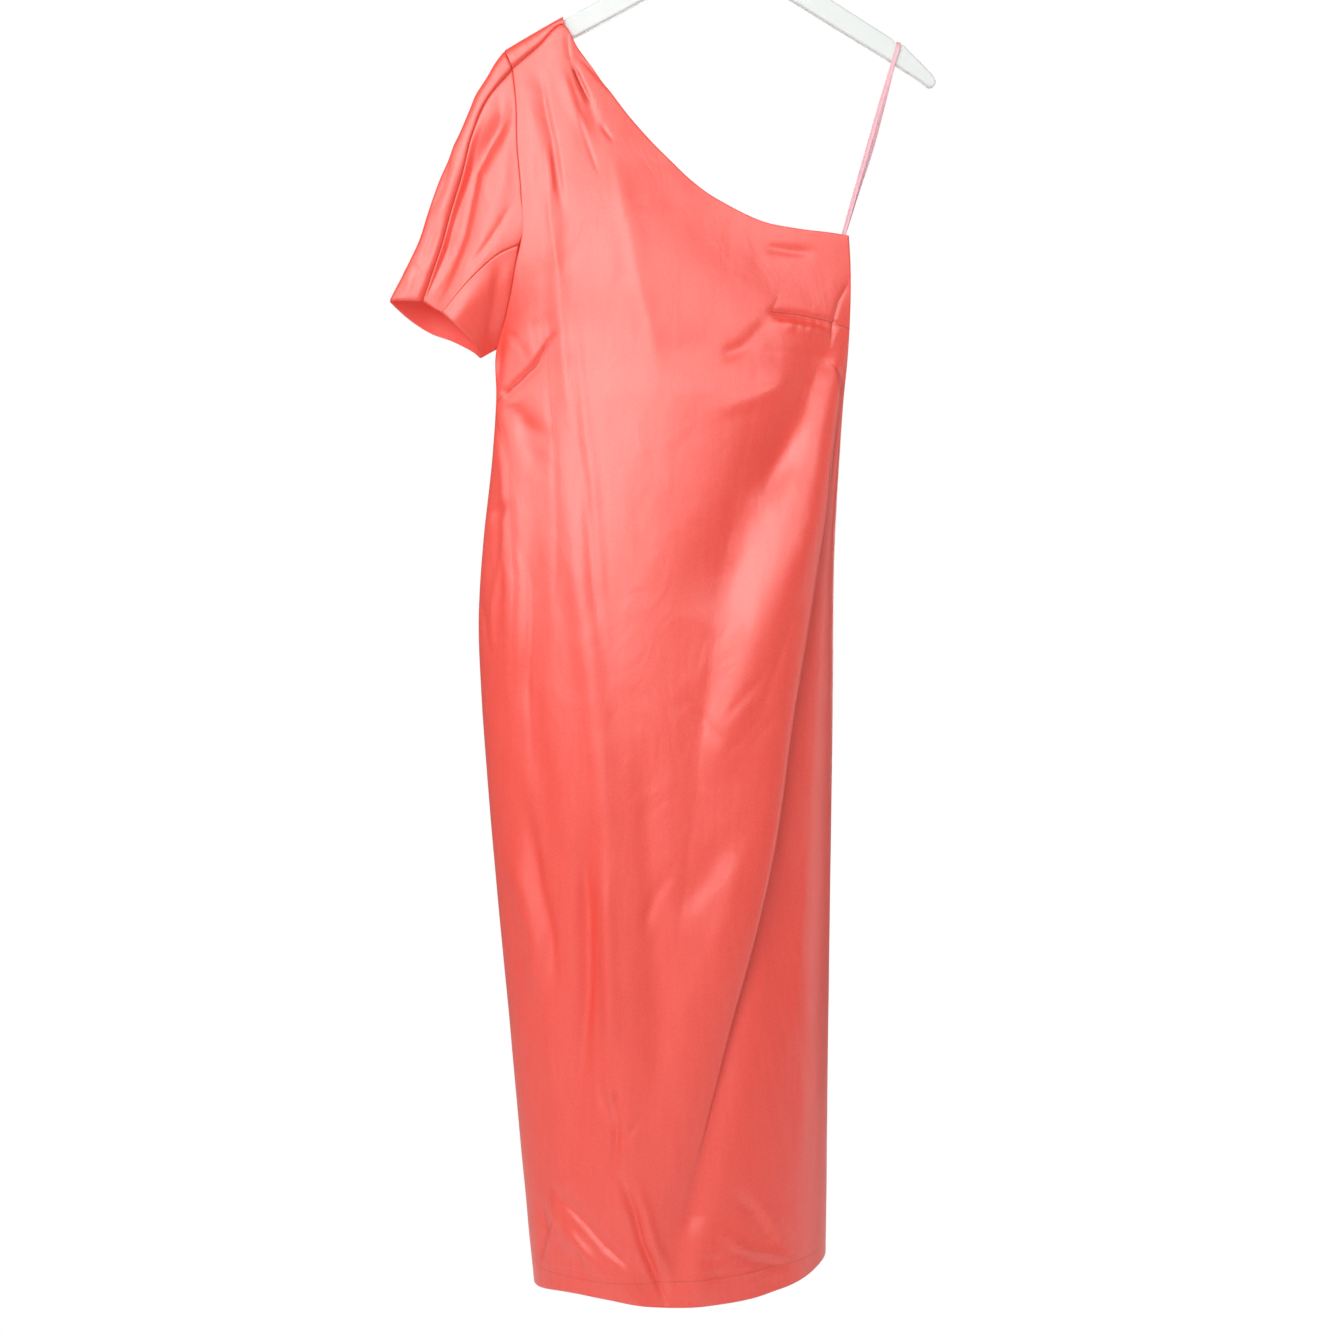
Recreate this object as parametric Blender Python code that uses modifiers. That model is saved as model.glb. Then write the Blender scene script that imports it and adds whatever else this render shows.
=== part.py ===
"""One-shoulder dress on a flat hanger, at rest: each cut piece of cloth is a thin bent wall with its main folds.

Metres, +Z up. The front faces -Y, and the origin is the inner top of the hook, where it rests on a rail.
Tables are in millimetres: x to the viewer's right, drop downwards from the hook, y away from the viewer.
"""

import math

import bmesh
import bpy
import numpy as np
from mathutils import Vector

MM = 0.001
WALL = 1.3  # cloth with its turned edge
SEAM = 0.45  # half of the gap between two sewn pieces, beyond the wall
HANGER_THICK = 10.0
HANGER_TURN = math.radians(1.75)  # clockwise, as it hangs
HANGER_DROP = 81.0  # hook's inner top to the meeting point of the arms' top edges
WIRE = 3.5
HOOK_RADIUS = 20.0
RIBBON_WIDE, RIBBON_THICK = 5.0, 0.9

COLUMNS, BACK_COLUMNS = 40, 26  # across a panel, seam to seam
NECK_COLUMN, BACK_NECK_COLUMN = 6, 5  # the column that starts at the neck corner
FOLD_COLUMN = 29  # the column on the lip of the long fold
NECK_SHARE = 0.15  # where the neck corner lies along the top tables
TOP_LEVEL, WAIST_LEVEL, HEM_LEVEL = 224.0, 560.0, 1470.0

# Left edge of the front: armhole, underarm, then side seam.
FRONT_LEFT = (
    # level, x, drop, y
    (224, -216.3, 224.4, -10.5),
    (259, -212.5, 259, -18),
    (310, -210.4, 310, -25),
    (356, -206.4, 356, -30),
    (402, -206.0, 402, -32),
    (430, -212.5, 430, -29),
    (463, -219.8, 463, -21),
    (489, -226.8, 489, -11),
    (511, -233.6, 511, -1.6),
    (560, -233.8, 560, -1.2),
    (625, -238.0, 625, -0.8),
    (707, -246.8, 707, -0.6),
    (790, -251.8, 790, -0.6),
    (872, -248.6, 872, -0.6),
    (954, -242.7, 954, -0.6),
    (1078, -231.9, 1078, -0.6),
    (1201, -220.0, 1201, -0.6),
    (1325, -208.7, 1325, -0.6),
    (1470, -194.6, 1469, -0.6),
)
# Right edge of the front: side seam from the strapless corner to the hem.
RIGHT = (
    # level, x, drop, y
    (224, 128.8, 394.0, -1.6),
    (300, 130.6, 425, -1.0),
    (400, 130.4, 470, -0.9),
    (511, 127.0, 527, -0.6),
    (560, 123.4, 562, -0.6),
    (625, 119.0, 625, -0.6),
    (707, 114.4, 707, -0.6),
    (872, 112.2, 872, -0.6),
    (1078, 109.1, 1076, -0.6),
    (1300, 106.2, 1292, -0.6),
    (1400, 105.4, 1380, -0.6),
    (1470, 104.6, 1440, -0.6),
)
# Shoulder seam and neckline, from the shoulder tip to the strapless corner.
NECKLINE = (
    # step, x, drop, y
    (0.0, -216.3, 224.4, -10.5),
    (0.075, -190.5, 202.0, -9.8),
    (0.15, -163.6, 179.0, -9.0),
    (0.20, -149.8, 203.5, -11),
    (0.26, -131.6, 228.0, -13),
    (0.33, -114.0, 252.5, -15),
    (0.40, -95.4, 277.1, -16.5),
    (0.475, -75.9, 299.5, -17.5),
    (0.55, -55.4, 320.0, -18),
    (0.63, -34.0, 340.4, -17.5),
    (0.72, -4.3, 360.9, -16),
    (0.81, 39.6, 381.3, -12.5),
    (0.89, 77.4, 388.4, -8.5),
    (0.955, 110.0, 391.6, -4.2),
    (1.0, 128.8, 394.0, -1.6),
)
# How far each panel stands out from the plane of its side seams.
BELLY = (
    # level, front, back, roundness
    (224, 0, 0, 1.0),
    (300, 6, 3, 1.0),
    (400, 20, 11, 0.95),
    (430, 26.5, 16, 0.9),
    (460, 33.5, 22.5, 0.85),
    (489, 41, 29.5, 0.79),
    (511, 46.5, 35, 0.75),
    (560, 56, 43.5, 0.68),
    (625, 64, 50, 0.6),
    (790, 80, 60, 0.57),
    (1000, 90, 68, 0.54),
    (1300, 99, 77, 0.52),
    (1470, 104, 82, 0.5),
)
# The hem's drop beside the straight line between the side seams.
HEM_DIP = (
    # share of the width, front, back
    (0.0, 0, 0),
    (0.1, -3, -2),
    (0.25, 2, 3),
    (0.4, 11, 8),
    (0.6, 15, 9),
    (0.78, 14, 8),
    (0.92, 8, 5),
    (1.0, 0, 0),
)
# Line of the lip of the long fold that leans over the right side of the front.
LONG_FOLD = (
    # level, x, size
    (500, 121.0, 0.0),
    (547, 115.5, 0.34),
    (610, 103.5, 0.62),
    (690, 91.0, 0.9),
    (771, 76.5, 1.0),
    (831, 66.0, 1.0),
    (904, 54.0, 1.0),
    (952, 47.5, 1.0),
    (1032, 34.5, 0.95),
    (1122, 16.0, 0.72),
    (1192, -1.5, 0.48),
    (1250, -15.0, 0.3),
    (1330, -35.0, 0.12),
    (1400, -52.0, 0.0),
    (1470, -62.0, 0.0),
)
# Its cross-section: columns from the lip, cloth before it folds, then the move along and out.
FOLD_SECTION = (
    # column, flat, along, out
    (-7.0, 0, 0, 0),
    (-6.0, 0, 0, 2),
    (-5.0, 0, 0, 5.5),
    (-4.0, 0, 0.5, 9),
    (-3.0, 0, 1.5, 11.5),
    (-2.0, 0, 3, 12),
    (-1.0, 0, 5, 10.5),
    (0.0, 0, 7.5, 7.5),
    (1.0, 3, 4.5, 3.6),
    (2.0, 6, -5, 1.0),
    (3.0, 9, -12, -2),
    (4.0, 15, -9, -4.5),
    (5.0, 0, -5, -3.2),
    (6.0, 0, -2, -1.3),
    (7.0, 0, 0, 0),
)

# Folds: height out of the cloth (a hollow is negative), half width below or left of its line, half width above
# or right of it, then the line as (x, drop).
FRONT_FOLDS = (
    (-4.0, 12, 8, (-190, 226), (-183, 268), (-173, 318), (-166, 362)),  # second shoulder pleat
    (-6.0, 13, 10, (-159, 214), (-150, 240), (-137, 264), (-128, 292)),  # hollow under the neck corner
    (3.5, 12, 12, (-183, 262), (-180, 330), (-170, 440), (-155, 600)),  # pressed line from the shoulder
    (6.0, 24, 24, (-106, 325), (-94, 420), (-72, 500), (-50, 560)),  # broad rise towards the bust
    (-9.0, 36, 20, (110, 508), (100, 532), (80, 581), (60, 628), (36, 680)),  # hollow from the right dart
    (-9.0, 62, 34, (84, 572), (60, 628), (34, 684), (8, 742), (-13, 801)),  # where it widens
    (4.0, 30, 26, (92, 650), (74, 700), (53, 750), (34, 805), (12, 860), (-16, 960)),  # rise beside the long fold
    (-3.0, 10, 10, (46, 476), (80, 481), (122, 490)),  # right dart
    (-3.0, 10, 10, (-170, 499), (-190, 531), (-226, 566)),  # left dart
    (-4.5, 14, 14, (-208, 585), (-200, 610), (-186, 640)),  # dimple under the left dart
    (3.5, 16, 16, (-222, 600), (-214, 690), (-212, 790), (-218, 880)),  # left side line
    (-3.5, 16, 16, (-196, 690), (-190, 780), (-196, 860), (-184, 960), (-168, 1080)),
    (4.0, 18, 18, (-160, 640), (-145, 760), (-132, 860), (-120, 980), (-114, 1100)),
    (-5.0, 20, 20, (-140, 1000), (-138, 1100), (-142, 1200), (-150, 1330)),
    (4.5, 22, 22, (-112, 1040), (-104, 1180), (-96, 1320), (-90, 1470)),
    (-3.5, 20, 20, (-70, 980), (-66, 1120), (-62, 1260)),
    (3.0, 16, 16, (-180, 1160), (-168, 1260), (-160, 1400)),
    (-4.0, 18, 18, (66, 1020), (58, 1110), (54, 1190)),
    (3.5, 18, 18, (84, 1120), (86, 1240), (84, 1330)),
    (-4.0, 20, 20, (-106, 1372), (-94, 1420), (-60, 1475)),  # hem creases
    (3.5, 14, 14, (-168, 1400), (-134, 1426), (-100, 1460)),
    (4.0, 22, 22, (-30, 1380), (-28, 1475)),
    (-3.0, 18, 18, (24, 1380), (44, 1430), (50, 1475)),
)
BACK_FOLDS = (
    (-5.0, 12, 12, (-188, 222), (-182, 280), (-174, 350)),
    (5.0, 14, 14, (-162, 225), (-158, 320), (-140, 450), (-120, 560)),
    (-6.0, 22, 22, (-120, 330), (-100, 440), (-90, 560)),
    (6.0, 24, 24, (-60, 360), (-40, 520), (-36, 700), (-40, 900)),
    (-4.5, 28, 28, (100, 540), (70, 620), (30, 740), (-4, 860), (-20, 1000)),
    (7.0, 28, 28, (88, 700), (60, 860), (40, 1040), (30, 1250), (30, 1470)),
    (-6.0, 24, 24, (-120, 700), (-110, 900), (-104, 1100), (-100, 1300)),
    (6.0, 24, 24, (-180, 620), (-168, 800), (-160, 1000), (-150, 1300), (-150, 1470)),
    (-5.0, 20, 20, (-208, 800), (-200, 1000), (-190, 1200)),
    (5.0, 24, 24, (-60, 1050), (-56, 1250), (-50, 1470)),
    (-5.0, 20, 20, (76, 1100), (80, 1300), (80, 1470)),
)
SLEEVE_FOLDS = (
    (-6.5, 20, 15, (-226, 262), (-240, 300), (-252, 350), (-262, 400), (-274, 450)),
)

# Sleeve: the four lines that run from the shoulder to the cuff.
ARM_SEAM = (
    # share of the length, x, drop, y
    (0.0, -216.3, 224.4, -10.5),
    (0.163, -242.7, 257.1, -13),
    (0.306, -257.1, 291.0, -14),
    (0.484, -268.3, 336.0, -15),
    (0.62, -278.6, 369.9, -15),
    (0.756, -287.8, 403.7, -14.5),
    (0.88, -298.1, 434.4, -14),
    (1.0, -308.3, 464.1, -13),
)
ARM_TOP = (
    (0.0, -225.2, 204.2, 0),
    (0.054, -234.4, 216.6, 0),
    (0.104, -241.6, 229.0, 0),
    (0.207, -257.1, 254.1, 0),
    (0.326, -270.5, 285.0, 0),
    (0.455, -284.9, 319.0, 0),
    (0.598, -299.3, 357.1, 0),
    (0.751, -312.7, 398.3, 0),
    (0.879, -328.2, 431.3, 0),
    (1.0, -343.6, 462.2, 0),
)
GUSSET_SEAM = (
    (0.0, -208.9, 409.0, -31.5),
    (0.28, -230.0, 419.0, -32),
    (0.62, -259.0, 444.3, -31),
    (1.0, -288.0, 477.0, -26),
)
UNDERARM = (
    (0.0, -233.6, 511.0, 0),
    (1.0, -249.9, 520.9, -4),
)
# The lines across it, each from the top of the arm or a seam to the one below.
CUFF_FRONT = (
    (0.0, -308.3, 464.1, -13),
    (0.4, -299.0, 470.5, -19),
    (1.0, -288.0, 477.0, -26),
)
CUFF_GUSSET = (
    (0.0, -288.0, 477.0, -26),
    (0.35, -275.0, 489.0, -29),
    (0.7, -257.0, 505.5, -19),
    (1.0, -249.9, 520.9, -4),
)
CUFF_BACK = (
    (0.0, -343.6, 462.2, 0),
    (0.07, -340.5, 465.0, 9),
    (0.2, -329.1, 475.0, 18),
    (0.45, -305.2, 490.2, 27),
    (0.7, -279.1, 500.6, 23),
    (0.9, -256.5, 514.0, 9),
    (1.0, -249.9, 520.9, -4),
)
ARMHOLE_BACK = (
    (0.0, -225.2, 204.2, 0),
    (0.03, -222.0, 208.0, 6.0),
    (0.09, -216.5, 224.4, 10.5),
    (0.2, -212.5, 259, 17),
    (0.36, -210.4, 310, 24),
    (0.5, -206.4, 356, 28),
    (0.65, -206.0, 402, 29),
    (0.82, -219.8, 463, 20),
    (1.0, -233.6, 511, 1.0),
)
# Ridge over the hanger, from the shoulder tip to the neck corner.
SHOULDER_RIDGE = (
    (0.0, -225.2, 204.2, 0),
    (0.06, -203.5, 191.2, 0),
    (0.15, -165.4, 169.6, 0),
)
# Line behind the hanger's arm, then the back neckline.
BACK_TOP = (
    (0.0, -216.5, 224.4, 10.5),
    (0.075, -190.5, 203.0, 10.0),
    (0.15, -163.6, 181.0, 9.5),
    (0.20, -149.8, 203.5, 11),
    (0.26, -131.6, 228.0, 13),
    (0.33, -114.0, 252.5, 15),
    (0.40, -95.4, 277.1, 16.5),
    (0.475, -75.9, 299.5, 17.5),
    (0.55, -55.4, 320.0, 18),
    (0.63, -34.0, 340.4, 17.5),
    (0.72, -4.3, 360.9, 16),
    (0.81, 39.6, 382.3, 12.5),
    (0.89, 77.4, 389.4, 8.5),
    (0.955, 110.0, 392.6, 4.2),
    (1.0, 128.8, 395.0, 1.6),
)

# Half of the hanger in its own plane, from the top of its middle round the arm.
ARM_OUTLINE = (
    (0.0, -6.0),
    (9.0, -3.0),
    (22.0, 13.5),
    (60.0, 35.9),
    (120.0, 71.8),
    (176.0, 105.2),
    (179.5, 109.6),
    (183.2, 111.6),
    (186.6, 110.6),
    (189.5, 112.8),
    (205.0, 127.5),
    (219.0, 141.0),
    (223.0, 147.5),
    (221.5, 153.5),
    (216.0, 154.5),
    (206.0, 147.5),
    (168.7, 124.7),
    (120.0, 97.0),
    (81.0, 74.2),
    (30.0, 45.5),
    (0.0, 38.0),
)


def through(rows, at):
    """Smooth values at these keys, between the rows of a table whose first column is the key."""
    rows = np.asarray(rows, float)
    key, values = rows[:, 0], rows[:, 1:]
    at = np.clip(np.asarray(at, float), key[0], key[-1])
    gap = np.diff(key)[:, None]
    slope = np.diff(values, axis=0) / gap
    tangent = np.vstack([slope[:1], (slope[:-1] * gap[1:] + slope[1:] * gap[:-1]) / (gap[:-1] + gap[1:]), slope[-1:]])
    i = np.clip(np.searchsorted(key, at, side="right") - 1, 0, len(key) - 2)
    h = gap[i]
    t = (at - key[i])[..., None] / h
    near, far = 2 * t**3 - 3 * t**2 + 1, 3 * t**2 - 2 * t**3
    return (
        near * values[i] + far * values[i + 1]
        + (t**3 - 2 * t**2 + t) * h * tangent[i] + (t**3 - t**2) * h * tangent[i + 1]
    )


def ease(value, low, high):
    """0 below low and 1 above high, smooth between."""
    t = np.clip((np.asarray(value, float) - low) / (high - low), 0, 1)
    return t * t * (3 - 2 * t)


def across(surface):
    """Unit steps along the columns and out of a grid of points, in (x, drop, y)."""
    along = np.gradient(surface, axis=1)
    down = np.gradient(surface, axis=0)
    along /= np.linalg.norm(along, axis=2, keepdims=True) + 1e-9
    down /= np.linalg.norm(down, axis=2, keepdims=True) + 1e-9
    out = np.cross(along, down)
    out /= np.linalg.norm(out, axis=2, keepdims=True) + 1e-9
    return along, out


def raised(surface, folds, out, keep):
    """The grid of points with each fold's smooth ridge or hollow added along out."""
    height = np.zeros(surface.shape[:2])
    flat = surface[..., :2]
    for size, below, above, *line in folds:
        line = np.array(line, float)
        steps = np.linalg.norm(np.diff(line, axis=0), axis=1)
        run = np.concatenate([[0], np.cumsum(steps)])
        best = np.full(height.shape, 1e9)
        place, half = np.zeros(height.shape), np.full(height.shape, float(below))
        for k, length in enumerate(steps):
            step, gap = line[k + 1] - line[k], flat - line[k]
            share = np.clip((gap @ step) / length**2, 0, 1)
            away = np.linalg.norm(gap - share[..., None] * step, axis=2)
            turn = step[0] * gap[..., 1] - step[1] * gap[..., 0]
            nearer = away < best
            best = np.where(nearer, away, best)
            place = np.where(nearer, run[k] + share * length, place)
            half = np.where(nearer, np.where(turn > 0, below, above), half)
        ends = ease(np.minimum(place, run[-1] - place), -0.15 * run[-1], 0.3 * run[-1])
        height += size * ends * np.exp(-2.2 * (best / half) ** 2)
    return surface + out * (height * keep)[..., None]


def from_sides(surface):
    """Distance along each row from its left end and from its right end."""
    steps = np.linalg.norm(np.diff(surface, axis=1), axis=2)
    run = np.concatenate([np.zeros((len(surface), 1)), np.cumsum(steps, axis=1)], axis=1)
    return run, run[:, -1:] - run


def panel(left_rows, right_rows, top_rows, side, levels, columns, neck):
    """Front or back of the dress: rows of points from the top to the hem. side is -1 in front, 1 behind."""
    share = (1 - np.cos(np.linspace(0, math.pi, 241))) / 2
    top = through(top_rows, share)
    dent = top - (1 - share)[:, None] * top[0] - share[:, None] * top[-1]
    dip = through(HEM_DIP, share)[:, 0 if side < 0 else 1]
    grid = []
    for level in levels:
        left, right = through(left_rows, level), through(right_rows, level)
        front, back, roundness = through(BELLY, level)
        fade = 1 - ease(level, TOP_LEVEL - 130, WAIST_LEVEL)
        row = (1 - share)[:, None] * left + share[:, None] * right
        row += dent * fade / (1 - ease(TOP_LEVEL, TOP_LEVEL - 130, WAIST_LEVEL))
        row[:, 1] += dip * ease(level, WAIST_LEVEL, HEM_LEVEL)
        row[:, 2] += side * (front if side < 0 else back) * (4 * share * (1 - share)) ** roundness
        steps = np.linalg.norm(np.diff(row, axis=0), axis=1)
        run = np.concatenate([[0], np.cumsum(steps)])
        corner = np.interp(NECK_SHARE, share, run)
        if side < 0:
            knots, at = fold_knots(level, row, run)
            corner += (at[1] * neck / FOLD_COLUMN - corner) * (1 - fade)
        else:
            knots, at = [0, BACK_COLUMNS], [0, run[-1]]
            corner += (run[-1] * neck / BACK_COLUMNS - corner) * (1 - fade)
        place = np.interp(columns, [0, neck, *knots[1:]], [0, corner, *at[1:]])
        grid.append(np.stack([np.interp(place, run, row[:, k]) for k in range(3)], axis=1))
    return np.array(grid)


def fold_knots(level, row, run):
    """Columns of the front, and the cloth's length up to each, so that one column follows the long fold's lip."""
    begin = LONG_FOLD[0][0]
    lip = run[-1] * (0.74 + 0.19 * ease(level, 260, begin))
    if level > begin:
        found = np.interp(through(LONG_FOLD, level)[0], row[:, 0], run)
        lip += (found - lip) * ease(level, begin, begin + 40)
    room = min(1, 0.75 * (run[-1] - lip) / max(step[1] for step in FOLD_SECTION))
    flat = [lip + room * step[1] for step in FOLD_SECTION if step[1]]
    return [0, *range(FOLD_COLUMN, FOLD_COLUMN + 5), COLUMNS], [0, lip, *flat, run[-1]]


def folded(surface, levels, columns, along, out):
    """The front with its long fold leaning over."""
    step = through([(row[0], row[2], row[3]) for row in FOLD_SECTION], columns - FOLD_COLUMN)
    inside = (columns - FOLD_COLUMN > FOLD_SECTION[0][0]) & (columns - FOLD_COLUMN < FOLD_SECTION[-1][0])
    size = through(LONG_FOLD, levels)[:, 1] * (levels > LONG_FOLD[0][0])
    amount = size[:, None, None] * inside[None, :, None]
    return surface + amount * (step[None, :, :1] * along + step[None, :, 1:] * out)


def coons(top_rows, bottom_rows, start_rows, end_rows, down, long):
    """Points between four lines: top and bottom run from the body to the cuff, start and end join them."""
    top, bottom = through(top_rows, long), through(bottom_rows, long)
    start, end = through(start_rows, down), through(end_rows, down)
    u, v = long[None, :, None], down[:, None, None]
    return (
        (1 - v) * top[None] + v * bottom[None] + (1 - u) * start[:, None] + u * end[:, None]
        - (1 - u) * (1 - v) * top[0] - u * (1 - v) * top[-1] - (1 - u) * v * bottom[0] - u * v * bottom[-1]
    )


def over(front_line, ridge_line, turns):
    """Rows that wrap from a line in front up to a ridge, turning round it."""
    angle = np.asarray(turns)[:, None, None] * math.pi / 2
    front, ridge = np.asarray(front_line)[None], np.asarray(ridge_line)[None]
    rows = ridge + (front - ridge) * (1 - np.sin(angle) ** 0.7)
    rows[..., 2] = (front[..., 2] - ridge[..., 2]) * np.cos(angle[..., 0]) ** 0.7 + ridge[..., 2]
    return rows


def inset(surface, first_row=0.0, last_row=0.0, first_column=0.0, last_column=0.0):
    """The grid drawn in from an edge by this many millimetres, along the cloth."""
    surface = surface.copy()
    for amount, edge, inner in (
        (first_row, np.s_[0], np.s_[1]), (last_row, np.s_[-1], np.s_[-2]),
        (first_column, np.s_[:, 0], np.s_[:, 1]), (last_column, np.s_[:, -1], np.s_[:, -2]),
    ):
        if amount:
            step = surface[inner] - surface[edge]
            size = np.linalg.norm(step, axis=-1, keepdims=True) + 1e-9
            surface[edge] += step / size * np.minimum(amount, 0.45 * size)
    return surface


def front_surface(columns, levels):
    base = panel(FRONT_LEFT, RIGHT, NECKLINE, -1, levels, columns, NECK_COLUMN)
    along, out = across(base)
    left, right = from_sides(base)
    keep = ease(left, 0, 42) * ease(right, 2, 28)
    base = raised(base, FRONT_FOLDS, -out, keep)
    return folded(base, levels, columns, along, -out)


def back_surface(columns, levels):
    left = [(row[2], *row[1:]) for row in ARMHOLE_BACK if row[2] >= TOP_LEVEL]
    left += [(row[0], row[1], row[2], -row[3]) for row in FRONT_LEFT if row[0] > 511]
    right = [(row[0], row[1], row[2], -row[3]) for row in RIGHT]
    base = panel(left, right, BACK_TOP, 1, levels, columns, BACK_NECK_COLUMN)
    _, out = across(base)
    ends = columns / BACK_COLUMNS
    keep = (ease(ends, 0, 0.08) * (1 - ease(ends, 0.92, 1)))[None, :] * ease(levels, TOP_LEVEL, TOP_LEVEL + 40)[:, None]
    return raised(base, BACK_FOLDS, out, keep)


def cloth(name, surface, material, drop_above=None):
    """A wall round a grid of points in (x, drop, y). drop_above gives rows and the last column they keep."""
    rows, columns = surface.shape[0] - 1, surface.shape[1] - 1
    bm = bmesh.new()
    bmesh.ops.create_grid(bm, x_segments=columns, y_segments=rows, size=1)
    gone = []
    for vert in bm.verts:
        i = round((vert.co.x + 1) / 2 * columns)
        j = rows - round((vert.co.y + 1) / 2 * rows)
        x, drop, y = surface[j, i]
        vert.co = (x * MM, y * MM, -drop * MM)
        if drop_above and j < drop_above[0] and i > drop_above[1]:
            gone.append(vert)
    bmesh.ops.delete(bm, geom=gone, context="VERTS")
    for face in bm.faces:
        face.smooth = True
    mesh = bpy.data.meshes.new(name)
    bm.to_mesh(mesh)
    bm.free()
    mesh.materials.append(material)
    obj = bpy.data.objects.new(name, mesh)
    part.objects.link(obj)
    wall = obj.modifiers.new("wall", "SOLIDIFY")
    wall.thickness = WALL * MM
    wall.offset = 0
    wall.use_quality_normals = True
    return obj


def principled(name, colour, roughness, metallic=0.0):
    material = bpy.data.materials.new(name)
    material.use_nodes = True
    shader = next(node for node in material.node_tree.nodes if node.type == "BSDF_PRINCIPLED")
    shader.inputs["Base Color"].default_value = (*colour, 1)
    shader.inputs["Roughness"].default_value = roughness
    shader.inputs["Metallic"].default_value = metallic
    return material


def turned(x, drop):
    """A point of the hanger's own plane where it hangs, in (x, drop)."""
    c, s = math.cos(HANGER_TURN), math.sin(HANGER_TURN)
    return x * c - drop * s, HANGER_DROP + x * s + drop * c


def placed(name, bm, material, collection=None):
    """The bmesh as a named object."""
    mesh = bpy.data.meshes.new(name)
    bmesh.ops.recalc_face_normals(bm, faces=bm.faces)
    bm.to_mesh(mesh)
    bm.free()
    mesh.materials.append(material)
    obj = bpy.data.objects.new(name, mesh)
    (collection or part).objects.link(obj)
    return obj


def tube(points, sides):
    """Rings of these (side, out) points carried along a line of (x, drop, y) points, with its ends capped."""
    bm = bmesh.new()
    line = [Vector((x, y, -drop)) * MM for x, drop, y in points]
    rings = []
    side = (line[1] - line[0]).cross(Vector((0, 1, 0)))
    for k, here in enumerate(line):
        way = (line[min(k + 1, len(line) - 1)] - line[max(k - 1, 0)]).normalized()
        side = (side - way * side.dot(way)).normalized()
        out = way.cross(side)
        rings.append(([bm.verts.new(here + (side * a + out * b) * MM) for a, b in sides], side))
    for (near, _), (far, _) in zip(rings, rings[1:]):
        for k in range(len(sides)):
            n = (k + 1) % len(sides)
            bm.faces.new((near[k], near[n], far[n], far[k]))
    bm.faces.new(rings[0][0])
    bm.faces.new(rings[-1][0])
    return bm


for old in list(bpy.data.objects):
    bpy.data.objects.remove(old)

part = bpy.data.collections.new("one_shoulder_dress")
cutters = bpy.data.collections.new("cutters")
for collection in (part, cutters):
    bpy.context.scene.collection.children.link(collection)

satin = principled("coral_satin", (0.86, 0.16, 0.12), 0.42)
satin_back = principled("coral_satin_back", (0.84, 0.15, 0.11), 0.45)
satin_sleeve = principled("coral_satin_sleeve", (0.86, 0.18, 0.14), 0.42)
satin_gusset = principled("coral_satin_gusset", (0.82, 0.14, 0.10), 0.45)
pink = principled("pink_ribbon", (0.88, 0.62, 0.67), 0.4)
white = principled("white_plastic", (0.84, 0.86, 0.85), 0.4)
steel = principled("steel_wire", (0.75, 0.75, 0.76), 0.25, 1.0)

# Front: rows closer together above the waist, where the pleats are.
front_levels = np.concatenate([np.linspace(TOP_LEVEL, WAIST_LEVEL, 20)[:-1], np.linspace(WAIST_LEVEL, HEM_LEVEL, 23)])
front = front_surface(np.arange(COLUMNS + 1.0), front_levels)
shoulder = front[0, :, 0] < NECKLINE[2][1] + 1
front[0, shoulder] += [0, 0.6, -0.3]
cloth("front", inset(front, first_column=SEAM + 0.3), satin)

# Back, with the strip that wraps over the hanger to the shoulder seam in front.
back_columns = np.arange(BACK_COLUMNS + 1.0)
back_levels = np.concatenate([np.linspace(TOP_LEVEL, WAIST_LEVEL, 15)[:-1], np.linspace(WAIST_LEVEL, HEM_LEVEL, 20)])
back = back_surface(back_columns, back_levels)
shoulder = back[0, : BACK_NECK_COLUMN + 1]
steps = np.interp(shoulder[:, 0], [row[1] for row in BACK_TOP[:3]], [row[0] for row in BACK_TOP[:3]])
ridge, seam = through(SHOULDER_RIDGE, steps), through(NECKLINE, steps) - [0, SEAM + 0.3, 0]
wrap = np.zeros((6, back.shape[1], 3))
wrap[:, : BACK_NECK_COLUMN + 1] = np.concatenate(
    [over(seam, ridge, (0, 0.33, 0.66, 1)), over(shoulder, ridge, (0.66, 0.33))])
cloth("back", inset(np.concatenate([wrap, back]), first_column=SEAM + 0.3), satin_back, (6, BACK_NECK_COLUMN))

# Sleeve: front, back with its wrap over the arm, and the small gusset under the arm.
long = np.linspace(0, 1, 13)
armhole = [((row[0] - 224) / (409 - 224), *row[1:]) for row in FRONT_LEFT if row[0] < 405] + [(1.0, -208.9, 409.0, -31.5)]
sleeve_front = coons(ARM_SEAM, GUSSET_SEAM, armhole, CUFF_FRONT, np.linspace(0, 1, 11), long)
_, outward = across(sleeve_front)
edge = ease(np.linspace(0, 1, 11), 0, 0.15) * (1 - ease(np.linspace(0, 1, 11), 0.85, 1))
sleeve_front = raised(sleeve_front, SLEEVE_FOLDS, outward, edge[:, None] * ease(long, 0, 0.2)[None, :])
cloth("sleeve_front", inset(sleeve_front, SEAM, SEAM, SEAM + 0.9), satin_sleeve)

sleeve_back = coons(ARM_TOP, UNDERARM, ARMHOLE_BACK, CUFF_BACK, np.linspace(0, 1, 15) ** 1.25, long)
arm_wrap = over(through(ARM_SEAM, long), sleeve_back[0], (0, 0.33, 0.66))
cloth("sleeve_back", inset(np.concatenate([arm_wrap, sleeve_back]), SEAM, SEAM + 0.3, SEAM + 0.8), satin_sleeve)

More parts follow.
